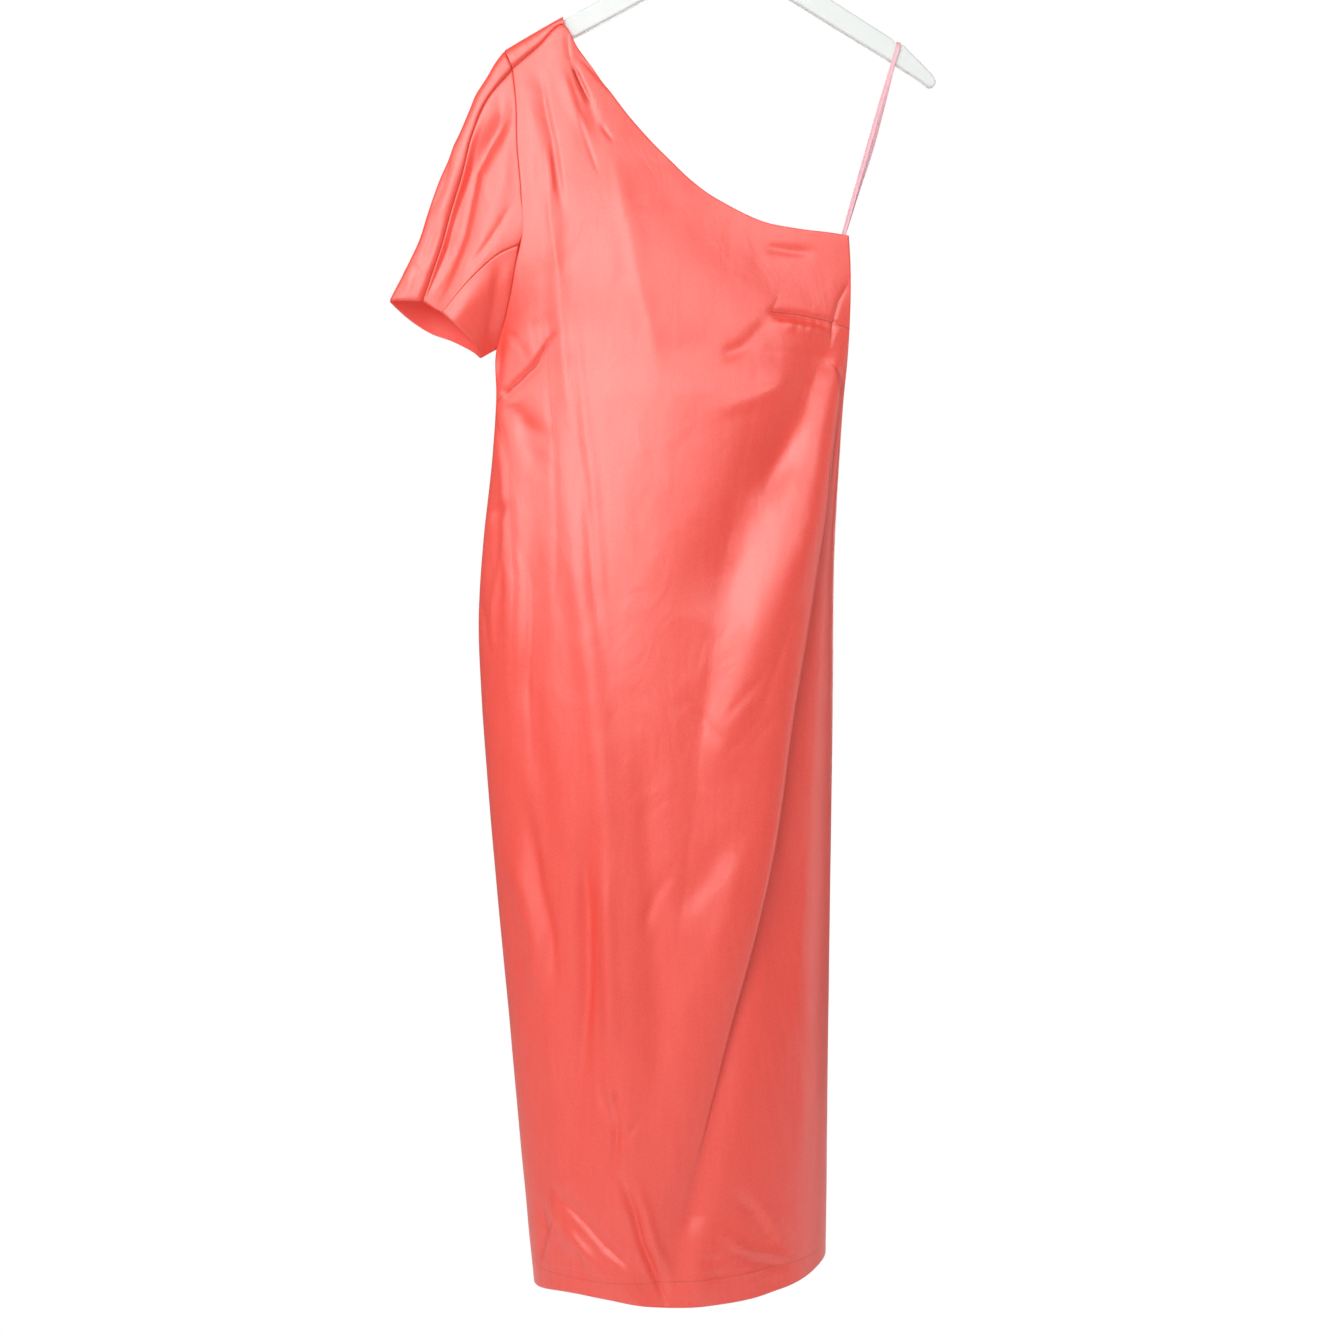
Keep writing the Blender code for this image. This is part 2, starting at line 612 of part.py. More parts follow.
under = [(0.0, -208.9, 409.0, -31.5), (0.2, -212.5, 430, -29), (0.52, -219.8, 463, -21), (0.78, -226.8, 489, -11),
         (1.0, -233.6, 511, 0)]
gusset = coons(GUSSET_SEAM, UNDERARM, under, CUFF_GUSSET, np.linspace(0, 1, 9), np.linspace(0, 1, 10))
cloth("sleeve_gusset", inset(gusset, SEAM, SEAM + 0.3, SEAM + 0.5), satin_gusset)

# Hanger: one flat moulding, with a socket for the hook.
outline = [turned(x, drop) for x, drop in ARM_OUTLINE]
outline += [turned(-x, drop) for x, drop in ARM_OUTLINE[-2:0:-1]]
bm = bmesh.new()
rim = [bm.verts.new((x * MM, -HANGER_THICK / 2 * MM, -drop * MM)) for x, drop in outline]
moved = bmesh.ops.extrude_face_region(bm, geom=[bm.faces.new(rim)])
for vert in (item for item in moved["geom"] if isinstance(item, bmesh.types.BMVert)):
    vert.co.y = HANGER_THICK / 2 * MM
hanger = placed("hanger", bm, white)

bm = bmesh.new()
bmesh.ops.create_cone(bm, cap_ends=True, segments=24, radius1=2.1 * MM, radius2=2.1 * MM, depth=30 * MM)
for vert in bm.verts:
    vert.co.z -= (HANGER_DROP - 1) * MM
socket = placed("socket_cutter", bm, white, cutters)
socket.hide_render = True
socket.display_type = "WIRE"
bore = hanger.modifiers.new("socket", "BOOLEAN")
bore.object = socket
bore.operation = "DIFFERENCE"
soft = hanger.modifiers.new("edges", "BEVEL")
soft.width = 2 * MM
soft.segments = 2
soft.limit_method = "ANGLE"
soft.angle_limit = math.radians(60)

# Hook: stem, neck and most of a circle round the rail.
reach = HOOK_RADIUS + WIRE / 2
stem = [(0, 94, 0), (0, 74, 0), (0, 58, 0), (0.6, 51, 0), (3.2, 45.5, 0)]
bend = [(reach * math.cos(math.radians(a)), HOOK_RADIUS - reach * math.sin(math.radians(a)), 0)
        for a in range(-55, 196, 10)]
circle = [(WIRE / 2 * math.cos(math.tau * k / 10), WIRE / 2 * math.sin(math.tau * k / 10)) for k in range(10)]
placed("hanger_hook", tube(stem + bend, circle), steel)

# Loop: one length of ribbon from inside the strapless corner, over the notch and back.
notch_x, notch_drop = turned(183.2, 111.6)
front_strand = [(121.5, 399.5, -0.72), (124.0, 391.0, -0.75), (136.0, 348.0, -2.2), (148.5, 304.0, -3.8),
                (162.0, 257.0, -5.4), (notch_x - 4.4, notch_drop + 15, -6.9), (notch_x - 0.8, notch_drop + 3, -6.9)]
bend = [(notch_x - 0.2, notch_drop - 1.0, -6.2), (notch_x, notch_drop - 2.2, -4.0), (notch_x, notch_drop - 2.5, 0),
        (notch_x, notch_drop - 2.2, 4.0), (notch_x - 0.2, notch_drop - 1.0, 6.2)]
back_strand = [(x + shift, drop, -y) for (x, drop, y), shift in zip(front_strand, (0, 0.3, 2.0, 4.0, 3.0, 0.6, 0))]
a, b = RIBBON_WIDE / 2, RIBBON_THICK / 2
strip = [(-a, -b), (a, -b), (a, b), (-a, b)]
placed("hanger_loop", tube(front_strand + bend + back_strand[::-1], strip), pink)
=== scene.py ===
# %% [markdown]
# # A one-shoulder satin dress on its hanger
# The dress hangs from a flat white hanger: its sleeve over the left arm, its strapless corner on a ribbon loop.
# Every cut piece of cloth is a grid whose points are moved onto the piece's form, then given a thin wall. The
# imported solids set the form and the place. Here each piece gets the fine folds, seams, stitches and finish.

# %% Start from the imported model
import math

import bmesh
import bpy
import numpy as np
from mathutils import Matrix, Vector


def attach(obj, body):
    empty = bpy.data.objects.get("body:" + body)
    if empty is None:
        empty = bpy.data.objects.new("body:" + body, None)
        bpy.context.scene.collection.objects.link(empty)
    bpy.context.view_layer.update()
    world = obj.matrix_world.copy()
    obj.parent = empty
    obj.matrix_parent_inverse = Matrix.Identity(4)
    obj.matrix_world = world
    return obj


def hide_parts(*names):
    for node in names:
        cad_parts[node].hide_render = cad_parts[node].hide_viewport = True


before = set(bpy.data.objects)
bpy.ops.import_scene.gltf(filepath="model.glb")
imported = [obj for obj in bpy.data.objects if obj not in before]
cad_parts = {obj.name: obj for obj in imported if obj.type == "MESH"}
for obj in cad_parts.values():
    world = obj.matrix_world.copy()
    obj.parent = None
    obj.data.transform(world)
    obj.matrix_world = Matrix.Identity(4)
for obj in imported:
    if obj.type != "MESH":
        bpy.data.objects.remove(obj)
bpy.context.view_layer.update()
MM = 0.001
print("solids:", ", ".join(sorted(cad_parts)))

# %% [markdown]
# Three helpers make what every step needs: an object in the scene, a material to fill in, and a node's values.

# %% Objects, materials and nodes
def added(name, data):
    """A new object with this data, in the scene."""
    obj = bpy.data.objects.new(name, data)
    bpy.context.scene.collection.objects.link(obj)
    return obj


def blank(name):
    """A new material with its nodes, its links and its shader."""
    material = bpy.data.materials.new(name)
    material.use_nodes = True
    nodes = material.node_tree.nodes
    return material, nodes, material.node_tree.links, next(node for node in nodes if node.type == "BSDF_PRINCIPLED")


def put(node, **values):
    """Set inputs of a node by name. An underscore stands for a space."""
    for name, value in values.items():
        node.inputs[name.replace("_", " ")].default_value = value


print("one millimetre is", MM, "m")

# %% [markdown]
# The camera comes first, because the folds are placed where it sees them. It stands level with the dress's middle,
# so it looks up at the hanger and down at the hem, which is why the hem's curve shows.

# %% Camera
PHOTO = 1333.0  # the picture's width and height, in pixels
PIXEL = 1.03  # millimetres to a pixel at the hanger
EYE = (-58.8, 837.6, 2300.0)  # the camera's x, its drop below the hook and its distance, in millimetres

camera = added("camera", bpy.data.cameras.new("camera"))
camera.data.lens = 36 * EYE[2] / (PHOTO * PIXEL)
camera.location = (EYE[0] * MM, -EYE[2] * MM, -EYE[1] * MM)
camera.rotation_euler = (math.pi / 2, 0, 0)
bpy.context.scene.camera = camera


def seen(points):
    """Where the camera sees points of (x, drop, y), in pixels across and down the picture."""
    scale = EYE[2] / ((EYE[2] + points[..., 2]) * PIXEL)
    return np.stack([PHOTO / 2 + (points[..., k] - EYE[k]) * scale for k in (0, 1)], axis=-1)


print("lens", round(camera.data.lens, 1), "mm")

# %% [markdown]
# The lengths below are in millimetres: x to the viewer's right, drop downwards from the hook's inner top, y away
# from the viewer. A level runs down a panel: it is the drop wherever the panel is plain.

# %% Edges of the front and back
TOP_LEVEL, WAIST_LEVEL, HEM_LEVEL = 224.0, 560.0, 1470.0
NECK_SHARE = 0.15
FRONT_LEFT = (
    # level, x, drop, y
    (224, -216.3, 224.4, -10.5),
    (259, -212.5, 259, -18),
    (310, -210.4, 310, -25),
    (356, -206.4, 356, -30),
    (402, -206.0, 402, -32),
    (430, -212.5, 430, -29),
    (463, -219.8, 463, -21),
    (489, -226.8, 489, -11),
    (511, -233.6, 511, -1.6),
    (560, -233.8, 560, -0.8),
    (625, -238.0, 625, -0.3),
    (707, -246.8, 707, -0.15),
    (790, -251.8, 790, -0.15),
    (872, -248.6, 872, -0.15),
    (954, -242.7, 954, -0.15),
    (1078, -231.9, 1078, -0.15),
    (1201, -220.0, 1201, -0.15),
    (1325, -208.7, 1325, -0.15),
    (1470, -194.6, 1469, -0.15),
)
RIGHT = (
    # level, x, drop, y
    (224, 128.8, 394.0, -0.8),
    (300, 130.6, 425, -0.3),
    (400, 130.4, 470, -0.2),
    (511, 127.0, 527, -0.15),
    (560, 123.4, 562, -0.15),
    (625, 119.0, 625, -0.15),
    (707, 114.4, 707, -0.15),
    (872, 112.2, 872, -0.15),
    (1078, 109.1, 1076, -0.15),
    (1300, 106.2, 1292, -0.15),
    (1400, 105.4, 1380, -0.15),
    (1470, 104.6, 1440, -0.15),
)
NECKLINE = (
    # step, x, drop, y
    (0.0, -216.3, 224.4, -10.5),
    (0.075, -190.5, 202.0, -9.8),
    (0.15, -163.6, 179.0, -9.0),
    (0.20, -149.8, 203.5, -11),
    (0.26, -131.6, 228.0, -13),
    (0.33, -114.0, 252.5, -15),
    (0.40, -95.4, 277.1, -16.5),
    (0.475, -75.9, 299.5, -17.5),
    (0.55, -55.4, 320.0, -18),
    (0.63, -34.0, 340.4, -17.5),
    (0.72, -4.3, 360.9, -16),
    (0.81, 39.6, 381.3, -12.5),
    (0.89, 77.4, 388.4, -8.5),
    (0.955, 110.0, 391.6, -4.2),
    (1.0, 128.8, 394.0, -1.6),
)
SHOULDER_RIDGE = (
    # step, x, drop, y
    (0.0, -225.2, 204.2, 0),
    (0.06, -203.5, 191.2, 0),
    (0.15, -165.4, 169.6, 0),
)
BACK_TOP = (
    # step, x, drop, y
    (0.0, -216.5, 224.4, 10.5),
    (0.075, -190.5, 203.0, 10.0),
    (0.15, -163.6, 181.0, 9.5),
    (0.20, -149.8, 203.5, 11),
    (0.26, -131.6, 228.0, 13),
    (0.33, -114.0, 252.5, 15),
    (0.40, -95.4, 277.1, 16.5),
    (0.475, -75.9, 299.5, 17.5),
    (0.55, -55.4, 320.0, 18),
    (0.63, -34.0, 340.4, 17.5),
    (0.72, -4.3, 360.9, 16),
    (0.81, 39.6, 382.3, 12.5),
    (0.89, 77.4, 389.4, 8.5),
    (0.955, 110.0, 392.6, 4.2),
    (1.0, 128.8, 395.0, 1.6),
)
ARMHOLE_BACK = (
    # step, x, drop, y
    (0.0, -225.2, 204.2, 0),
    (0.03, -222.0, 208.0, 6.0),
    (0.09, -216.5, 224.4, 10.5),
    (0.2, -212.5, 259, 17),
    (0.36, -210.4, 310, 24),
    (0.5, -206.4, 356, 28),
    (0.65, -206.0, 402, 29),
    (0.82, -219.8, 463, 20),
    (1.0, -233.6, 511, 1.0),
)

# %% [markdown]
# A dress on a hanger isn't flat: cut for a figure, it keeps a belly in front and a shallower one behind, growing
# towards the hem. Each level's section is a rounded arc between its two side seams.

# %% Form of the body
BELLY = (
    # level, front, back, roundness
    (224, 0, 0, 1.0),
    (300, 6, 3, 1.0),
    (400, 20, 11, 0.95),
    (430, 26.5, 16, 0.9),
    (460, 33.5, 22.5, 0.85),
    (489, 41, 29.5, 0.79),
    (511, 46.5, 35, 0.75),
    (560, 56, 43.5, 0.68),
    (625, 64, 50, 0.6),
    (790, 80, 60, 0.57),
    (1000, 90, 68, 0.54),
    (1300, 99, 77, 0.52),
    (1470, 104, 82, 0.5),
)
HEM_DIP = (
    # share of the width, front, back
    (0.0, 0, 0),
    (0.1, -3, -2),
    (0.25, 2, 3),
    (0.4, 11, 8),
    (0.6, 15, 9),
    (0.78, 14, 8),
    (0.92, 8, 5),
    (1.0, 0, 0),
)

# %% [markdown]
# The longest fold leans over the right side of the front. A plain dent can't show it, because the cloth turns
# back under its own lip, so some columns of the grid follow that S in section, fading out at both ends.

# %% The long fold
COLUMNS, FOLD_COLUMN, NECK_COLUMN = 40, 29, 6
BACK_COLUMNS, BACK_NECK_COLUMN = 26, 5
LONG_FOLD = (
    # level, x, size
    (500, 121.0, 0.0),
    (547, 115.5, 0.34),
    (610, 103.5, 0.62),
    (690, 91.0, 0.9),
    (771, 76.5, 1.0),
    (831, 66.0, 1.0),
    (904, 54.0, 1.0),
    (952, 47.5, 1.0),
    (1032, 34.5, 0.95),
    (1122, 16.0, 0.72),
    (1192, -1.5, 0.48),
    (1250, -15.0, 0.3),
    (1330, -35.0, 0.12),
    (1400, -52.0, 0.0),
    (1470, -62.0, 0.0),
)
FOLD_SECTION = (
    # column, flat, along, out
    (-7.0, 0, 0, 0),
    (-6.0, 0, 0, 2),
    (-5.0, 0, 0, 4.5),
    (-4.0, 0, 0.5, 7.2),
    (-3.0, 0, 1.5, 9.8),
    (-2.0, 0, 3, 12),
    (-1.0, 0, 5.2, 13),
    (0.0, 0, 7.8, 10.8),
    (1.0, 3, 4.7, 5.2),
    (2.0, 6, -5, 1.0),
    (3.0, 9, -12, -2),
    (4.0, 15, -9, -4.5),
    (5.0, 0, -5, -3.2),
    (6.0, 0, -2, -1.3),
    (7.0, 0, 0, 0),
)

# %% [markdown]
# Three small helpers do the work: a smooth curve through a table's rows, an ease between two values, and the
# directions along and out of a grid of points.

# %% Curves and directions
def through(rows, at):
    """Smooth values at these keys, between the rows of a table whose first column is the key."""
    rows = np.asarray(rows, float)
    key, values = rows[:, 0], rows[:, 1:]
    at = np.clip(np.asarray(at, float), key[0], key[-1])
    gap = np.diff(key)[:, None]
    slope = np.diff(values, axis=0) / gap
    tangent = np.vstack([slope[:1], (slope[:-1] * gap[1:] + slope[1:] * gap[:-1]) / (gap[:-1] + gap[1:]), slope[-1:]])
    i = np.clip(np.searchsorted(key, at, side="right") - 1, 0, len(key) - 2)
    h = gap[i]
    t = (at - key[i])[..., None] / h
    near, far = 2 * t**3 - 3 * t**2 + 1, 3 * t**2 - 2 * t**3
    return (
        near * values[i] + far * values[i + 1]
        + (t**3 - 2 * t**2 + t) * h * tangent[i] + (t**3 - t**2) * h * tangent[i + 1]
    )


def ease(value, low, high):
    """0 below low and 1 above high, smooth between."""
    t = np.clip((np.asarray(value, float) - low) / (high - low), 0, 1)
    return t * t * (3 - 2 * t)


def across(surface):
    """Unit steps along the columns and out of a grid of points, in (x, drop, y)."""
    along = np.gradient(surface, axis=1)
    down = np.gradient(surface, axis=0)
    along /= np.linalg.norm(along, axis=2, keepdims=True) + 1e-9
    down /= np.linalg.norm(down, axis=2, keepdims=True) + 1e-9
    out = np.cross(along, down)
    out /= np.linalg.norm(out, axis=2, keepdims=True) + 1e-9
    return along, out


# %% [markdown]
# A fold is a ridge or a hollow along a line. Real folds are rarely even: one flank is steep and the other long. So
# each row gives a height, two half widths and the line, and the cloth is moved out along its own normal.

# %% Ridges and hollows
def raised(surface, flat, folds, out, keep):
    """The points with each fold added along out. Lines and half widths are in the units of flat."""
    height = np.zeros(surface.shape[:2])
    for size, below, above, *line in folds:
        line = np.array(line, float)
        steps = np.linalg.norm(np.diff(line, axis=0), axis=1)
        run = np.concatenate([[0], np.cumsum(steps)])
        best = np.full(height.shape, 1e9)
        place, half = np.zeros(height.shape), np.full(height.shape, float(below))
        for k, length in enumerate(steps):
            step = line[k + 1] - line[k]
            gap = flat - line[k]
            share = np.clip((gap @ step) / length**2, 0, 1)
            away = np.linalg.norm(gap - share[..., None] * step, axis=2)
            turn = step[0] * gap[..., 1] - step[1] * gap[..., 0]
            nearer = away < best
            best = np.where(nearer, away, best)
            place = np.where(nearer, run[k] + share * length, place)
            half = np.where(nearer, np.where(turn > 0, below, above), half)
        ends = ease(np.minimum(place, run[-1] - place), -0.1 * run[-1], 0.28 * run[-1])
        height += size * ends * np.exp(-2.2 * (best / half) ** 2)
    return surface + out * (height * keep)[..., None]


def rolled(surface, out, radius, top=False, bottom=False, left=False, right=False):
    """The points with these edges rolled inwards, as a turned and pressed edge is."""
    def from_edge(grid, axis, flip):
        grid = np.flip(grid, axis) if flip else grid
        steps = np.linalg.norm(np.diff(grid, axis=axis), axis=2)
        run = np.concatenate([np.zeros_like(np.take(steps, [0], axis)), np.cumsum(steps, axis)], axis)
        return np.flip(run, axis) if flip else run

    moved = surface.copy()
    for wanted, axis, flip in ((top, 0, False), (bottom, 0, True), (left, 1, False), (right, 1, True)):
        if wanted:
            near = np.clip(1 - from_edge(surface, axis, flip) / radius, 0, 1)
            moved -= out * (radius * 0.5 * (1 - np.sqrt(1 - near**2)))[..., None]
    return moved


def wobble(flat, size):
    """A faint unevenness, longer down the cloth than across it."""
    waves = ((0.071, 0.013, 0.4), (0.043, -0.021, 1.9), (0.113, 0.037, 3.1), (0.167, -0.029, 5.2), (0.029, 0.061, 2.2))
    x, drop = flat[..., 0], flat[..., 1]
    total = sum(np.sin(a * x + b * drop + c) * np.cos(0.6 * b * x - 0.4 * a * drop + 2 * c) for a, b, c in waves)
    return size * total / len(waves)


# %% [markdown]
# A panel is worked out level by level: the two edges, the belly between them, and the neckline's shape fading out
# below. The columns are then spread along each level's own length, so no cloth is stretched.

# %% Panels
def from_sides(surface):
    """Distance along each row from its left end and from its right end."""
    steps = np.linalg.norm(np.diff(surface, axis=1), axis=2)
    run = np.concatenate([np.zeros((len(surface), 1)), np.cumsum(steps, axis=1)], axis=1)
    return run, run[:, -1:] - run


def panel(left_rows, right_rows, top_rows, side, levels, columns, neck):
    """Front or back of the dress: rows of points from the top to the hem. side is -1 in front, 1 behind."""
    share = (1 - np.cos(np.linspace(0, math.pi, 241))) / 2
    top = through(top_rows, share)
    dent = top - (1 - share)[:, None] * top[0] - share[:, None] * top[-1]
    dip = through(HEM_DIP, share)[:, 0 if side < 0 else 1]
    grid = []
    for level in levels:
        left, right = through(left_rows, level), through(right_rows, level)
        front, back, roundness = through(BELLY, level)
        fade = 1 - ease(level, TOP_LEVEL - 130, WAIST_LEVEL)
        row = (1 - share)[:, None] * left + share[:, None] * right
        row += dent * fade / (1 - ease(TOP_LEVEL, TOP_LEVEL - 130, WAIST_LEVEL))
        row[:, 1] += dip * ease(level, WAIST_LEVEL, HEM_LEVEL)
        row[:, 2] += side * (front if side < 0 else back) * (4 * share * (1 - share)) ** roundness
        steps = np.linalg.norm(np.diff(row, axis=0), axis=1)
        run = np.concatenate([[0], np.cumsum(steps)])
        corner = np.interp(NECK_SHARE, share, run)
        if side < 0:
            knots, at = fold_knots(level, row, run)
            corner += (at[1] * neck / FOLD_COLUMN - corner) * (1 - fade)
        else:
            knots, at = [0, BACK_COLUMNS], [0, run[-1]]
            corner += (run[-1] * neck / BACK_COLUMNS - corner) * (1 - fade)
        place = np.interp(columns, [0, neck, *knots[1:]], [0, corner, *at[1:]])
        grid.append(np.stack([np.interp(place, run, row[:, k]) for k in range(3)], axis=1))
    return np.array(grid)


def fold_knots(level, row, run):
    """Columns of the front, and the cloth's length up to each, so that one column follows the long fold's lip."""
    begin = LONG_FOLD[0][0]
    lip = run[-1] * (0.74 + 0.19 * ease(level, 260, begin))
    if level > begin:
        found = np.interp(through(LONG_FOLD, level)[0], row[:, 0], run)
        lip += (found - lip) * ease(level, begin, begin + 40)
    room = min(1, 0.75 * (run[-1] - lip) / max(step[1] for step in FOLD_SECTION))
    flat = [lip + room * step[1] for step in FOLD_SECTION if step[1]]
    return [0, *range(FOLD_COLUMN, FOLD_COLUMN + 5), COLUMNS], [0, lip, *flat, run[-1]]


def folded(surface, levels, columns, along, out):
    """The front with its long fold leaning over."""
    step = through([(row[0], row[2], row[3]) for row in FOLD_SECTION], columns - FOLD_COLUMN)
    inside = (columns - FOLD_COLUMN > FOLD_SECTION[0][0]) & (columns - FOLD_COLUMN < FOLD_SECTION[-1][0])
    size = through(LONG_FOLD, levels)[:, 1] * (levels > LONG_FOLD[0][0])
    amount = size[:, None, None] * inside[None, :, None]
    return surface + amount * (step[None, :, :1] * along + step[None, :, 1:] * out)


def coons(top_rows, bottom_rows, start_rows, end_rows, down, long):
    """Points between four lines: top and bottom run from the body to the cuff, start and end join them."""
    top, bottom = through(top_rows, long), through(bottom_rows, long)
    start, end = through(start_rows, down), through(end_rows, down)
    u, v = long[None, :, None], down[:, None, None]
    return (
        (1 - v) * top[None] + v * bottom[None] + (1 - u) * start[:, None] + u * end[:, None]
        - (1 - u) * (1 - v) * top[0] - u * (1 - v) * top[-1] - (1 - u) * v * bottom[0] - u * v * bottom[-1]
    )


def over(front_line, ridge_line, turns):
    """Rows that wrap from a line in front up to a ridge, turning round it."""
    angle = np.asarray(turns)[:, None, None] * math.pi / 2
    front, ridge = np.asarray(front_line)[None], np.asarray(ridge_line)[None]
    rows = ridge + (front - ridge) * (1 - np.sin(angle) ** 0.7)
    rows[..., 2] = (front[..., 2] - ridge[..., 2]) * np.cos(angle[..., 0]) ** 0.7 + ridge[..., 2]
    return rows


def inset(surface, first_row=0.0, last_row=0.0, first_column=0.0, last_column=0.0):
    """The grid drawn in from an edge by this many millimetres, along the cloth."""
    surface = surface.copy()
    for amount, edge, inner in (
        (first_row, np.s_[0], np.s_[1]), (last_row, np.s_[-1], np.s_[-2]),
        (first_column, np.s_[:, 0], np.s_[:, 1]), (last_column, np.s_[:, -1], np.s_[:, -2]),
    ):
        if amount:
            step = surface[inner] - surface[edge]
            size = np.linalg.norm(step, axis=-1, keepdims=True) + 1e-9
            surface[edge] += step / size * np.minimum(amount, 0.45 * size)
    return surface


# %% [markdown]
# Each cloth piece is one grid of points, kept as a mesh with a UV map in metres so that its threads have a size.
# The wall is under a millimetre, as lined satin is, and its inner side gets a duller material, which glows faintly:
# painted light that brightens its shaded inside.

# %% Cloth builder
PLUMB_X = -150  # the plumb line that the threads of the front are measured from, in mm


def unrolled(surface):
    """Where each point lies on the cloth laid flat, in metres: sideways from one plumb line, and plumb down."""
    steps = np.linalg.norm(np.diff(surface[..., [0, 2]], axis=1), axis=2)
    run = np.concatenate([np.zeros((len(surface), 1)), np.cumsum(steps, axis=1)], axis=1)
    half = surface.shape[1] // 2
    start = np.array([np.interp(PLUMB_X, x[:half], far[:half]) for x, far in zip(surface[..., 0], run)])
    return np.stack([run - start[:, None] + PLUMB_X, -surface[..., 1]], axis=2) * MM


def cloth(name, surface, outer, inner, facing=1, wall=0.9, drop_above=None, plumb=False):
    """A thin wall round a grid of points in (x, drop, y). facing is -1 where the grid's own faces look inwards.

    drop_above gives rows and the last column they keep. plumb keeps the threads vertical where rows slope.
    """
    rows, columns = surface.shape[0] - 1, surface.shape[1] - 1
    wide = np.linalg.norm(np.diff(surface, axis=1), axis=2).mean(axis=0)
    long = np.linalg.norm(np.diff(surface, axis=0), axis=2).mean(axis=1)
    u, v = np.concatenate([[0], np.cumsum(wide)]) * MM, -np.concatenate([[0], np.cumsum(long)]) * MM
    spread = unrolled(surface) if plumb else None
    bm = bmesh.new()
    uv = bm.loops.layers.uv.new("cloth")
    bmesh.ops.create_grid(bm, x_segments=columns, y_segments=rows, size=1)
    gone = []
    place = {}
    for vert in bm.verts:
        i = round((vert.co.x + 1) / 2 * columns)
        j = rows - round((vert.co.y + 1) / 2 * rows)
        x, drop, y = surface[j, i]
        vert.co = (x * MM, y * MM, -drop * MM)
        place[vert] = tuple(spread[j, i]) if plumb else (u[i], v[j])
        if drop_above and j < drop_above[0] and i > drop_above[1]:
            gone.append(vert)
    for face in bm.faces:
        face.smooth = True
        for loop in face.loops:
            loop[uv].uv = place[loop.vert]
    bmesh.ops.delete(bm, geom=gone, context="VERTS")
    area = sum(face.calc_area() for face in bm.faces)
    mesh = bpy.data.meshes.new(name)
    bm.to_mesh(mesh)
    bm.free()
    for material in (outer, inner)[::facing]:
        mesh.materials.append(material)
    obj = added(name, mesh)
    thick = obj.modifiers.new("wall", "SOLIDIFY")
    thick.thickness = wall * MM
    thick.offset = 0
    thick.use_quality_normals = True
    thick.material_offset = 1
    print(name, rows, "x", columns, "cells,", round(u[-1], 3), "x", round(-v[-1], 3), "m, area", round(area, 4))
    return obj


def worn(obj, node):
    """The piece rides on the dress and takes its node's place."""
    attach(obj, "root")
    if node:
        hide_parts(node)
    return obj


# %% [markdown]
# Satin is a weave whose threads float over several others, so it shines softly and in streaks along them. The
# threads are far finer than a pixel, so the group gives only an uneven fine streak, and a second group gives the
# soft crumple that a worn dress keeps.

# %% Shared patterns
def pattern_group(name, fields, outputs):
    """A node group with one Vector input. fields are (output, across, down, detail, roughness, distortion)."""
    group = bpy.data.node_groups.new(name, "ShaderNodeTree")
    group.interface.new_socket("Vector", in_out="INPUT", socket_type="NodeSocketVector")
    for output in outputs:
        group.interface.new_socket(output, in_out="OUTPUT", socket_type="NodeSocketFloat")
    entry, leave = group.nodes.new("NodeGroupInput"), group.nodes.new("NodeGroupOutput")
    for output, wide, down, detail, rough, distortion in fields:
        mapping = group.nodes.new("ShaderNodeMapping")
        put(mapping, Scale=(wide, down, wide))
        noise = group.nodes.new("ShaderNodeTexNoise")
        put(noise, Scale=1.0, Detail=detail, Roughness=rough, Distortion=distortion)
        group.links.new(entry.outputs["Vector"], mapping.inputs["Vector"])
        group.links.new(mapping.outputs["Vector"], noise.inputs["Vector"])
        group.links.new(noise.outputs["Fac"], leave.inputs[output])
    return group


THREADS = (
    # output, across, down, detail, roughness, distortion
    ("Height", 2600, 420, 2.0, 0.6, 0.0),
    ("Streak", 150, 20, 2.0, 0.5, 0.3),
    ("Grain", 760, 430, 2.0, 0.7, 0.4),
)
CRUMPLE = (
    # output, across, down, detail, roughness, distortion
    ("Height", 30, 17, 4.0, 0.5, 0.8),
    ("Cloud", 7, 3.5, 2.0, 0.5, 0.3),
)
threads = pattern_group("satin_threads", THREADS, ["Height", "Streak", "Grain"])
crumple = pattern_group("soft_crumple", CRUMPLE, ["Height", "Cloud"])


